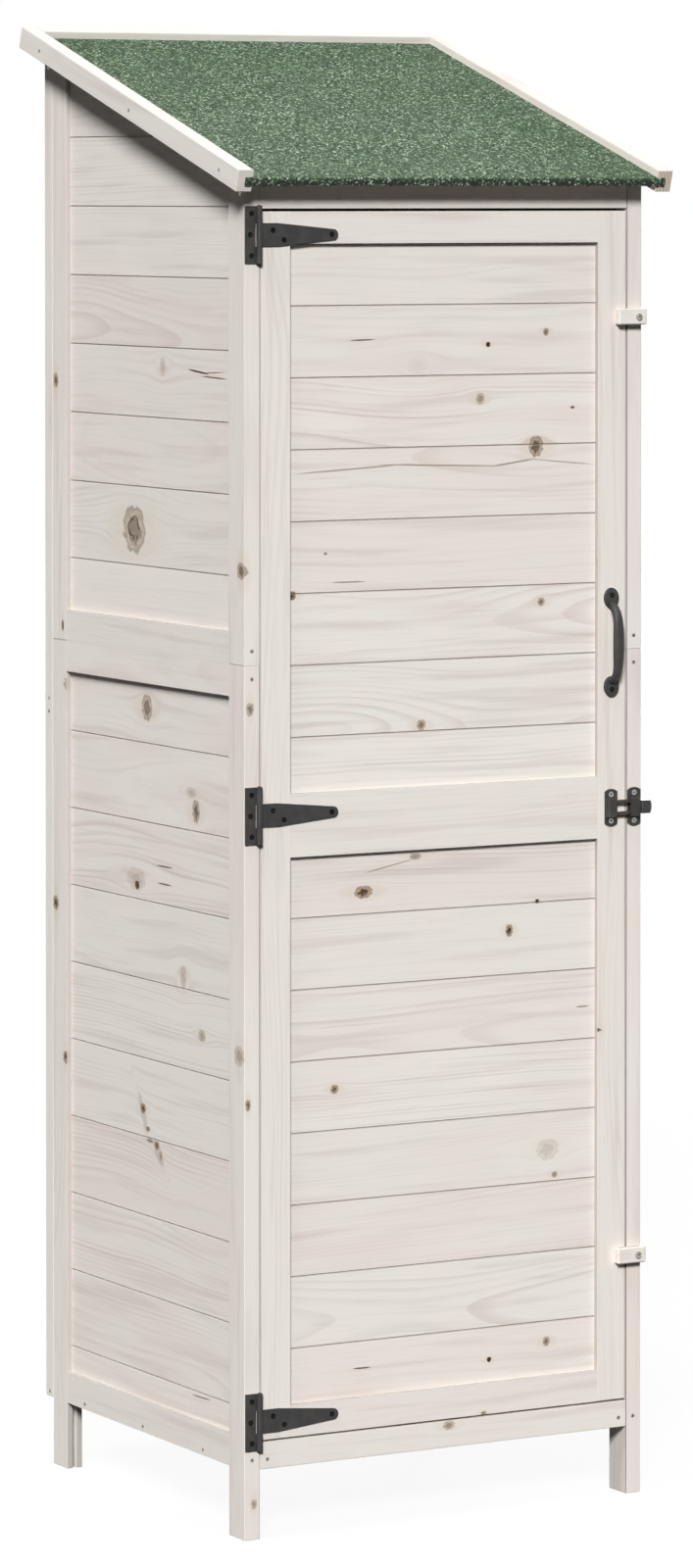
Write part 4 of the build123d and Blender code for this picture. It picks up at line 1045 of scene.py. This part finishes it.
def hem_rows(low, high, front, thick):
    """The felt's hem as loops from left to right, with a torn foot."""
    steps = round((high.x - low.x) / (FELT_STEP / 2))
    rows = []
    for i in range(steps + 1):
        x = low.x + (high.x - low.x) * i / steps
        wave = noise.noise(Vector((x * HEM_WAVE_SCALE, HEM_WAVE_ROW, 0.0)))
        tears = noise.noise(Vector((x * HEM_TEAR_SCALE, HEM_TEAR_ROW, 0.0)))
        foot = low.z + HEM_RAGGED * (0.5 + wave)
        foot += HEM_RAGGED * HEM_TEAR_SHARE * tears
        bulge = roughness((x, HEM_BULGE_ROW, 0.0), FELT_ROUGH * 2, HEM_BULGE_SCALE)
        face = low.y - FELT_ROUGH + bulge
        crown = high.z - FELT_ROUGH + roughness((x, front, 0), FELT_ROUGH, FELT_SCALE)
        middle = (foot + high.z) / 2
        rows.append([
            (x, front, crown),
            (x, front, foot + HEM_INSIDE * thick),
            (x, front - HEM_INSIDE * thick, foot),
            (x, face + HEM_FOOT_IN * thick, foot + HEM_FOOT_UP * thick),
            (x, face, middle + roughness((x, HEM_MIDDLE_ROW, 0), FELT_ROUGH, HEM_MIDDLE_SCALE)),
            (x, face + HEM_SHOULDER_IN * thick, high.z - HEM_SHOULDER_DOWN * thick),
            (x, face + HEM_CROWN_IN * thick, crown - HEM_CROWN_DOWN * thick),
        ])
    return rows


def dress_felt(name):
    """Roof felt: a slightly uneven sheet, and a hem that folds over the front edge."""
    turn = Matrix.Rotation(-ROOF_PITCH, 3, "X")
    low, high = extent([turn @ vert.co for vert in NODES[name].data.vertices])
    deck_low, deck_high = extent([turn @ vert.co for vert in NODES["roof_boards"].data.vertices])
    front = deck_low.y
    thick = high.z - deck_high.z
    bm = bmesh.new()
    grid_mesh(bm, sheet_rows(deck_high.x, front, high.y, high.z, deck_high.z))
    sheet = set(bm.verts)
    grid_mesh(bm, hem_rows(low, high, front, thick))
    hem = bm.verts.layers.float_vector.new("hem")
    for vert in bm.verts:
        if vert not in sheet and vert.co.z < high.z - thick:
            vert[hem] = (1.0, 0.0, 0.0)
    bmesh.ops.recalc_face_normals(bm, faces=bm.faces)
    bmesh.ops.transform(bm, matrix=turn.inverted().to_4x4(), verts=bm.verts)
    return place_piece(name, bm, FELT, FELT_SMOOTH_ANGLE)


photo_camera = make_camera()
KNOTS = find_knots(photo_camera)
LINES = find_lines(photo_camera)

make_sky()
make_floor()
sun("key_light", KEY_TRAVEL, KEY_STRENGTH, KEY_ANGLE)
sun("side_light", SIDE_TRAVEL, SIDE_STRENGTH, SIDE_ANGLE)
sun("rear_light", REAR_TRAVEL, REAR_STRENGTH, REAR_ANGLE)

PINE = whitewashed_pine()
FELT = mineral_felt()
BLACK = black_coat("black_coat", COAT, roughness=0.5, gloss=0.3)
# real black for hinge and handle screws, and painted shade for the cross recess of steel screws
JET_AND_RECESS_SHADE = black_coat("blackened_steel", BLACKENED, roughness=0.6, gloss=0.08)
STEEL = dull_steel("dull_steel", ZINC, roughness=0.45)
for node_name, slot_name in SLOTS.items():
    if slot_name == "timber":
        dress_timber(node_name, ROOF_PITCH if node_name in ROOF_TIMBER else 0.0)
    elif slot_name == "fittings":
        dress_metal(node_name)
    elif slot_name == "roof_felt":
        dress_felt(node_name)
    else:
        dress_screws(node_name)

scene = bpy.context.scene
scene.view_settings.view_transform = "Standard"
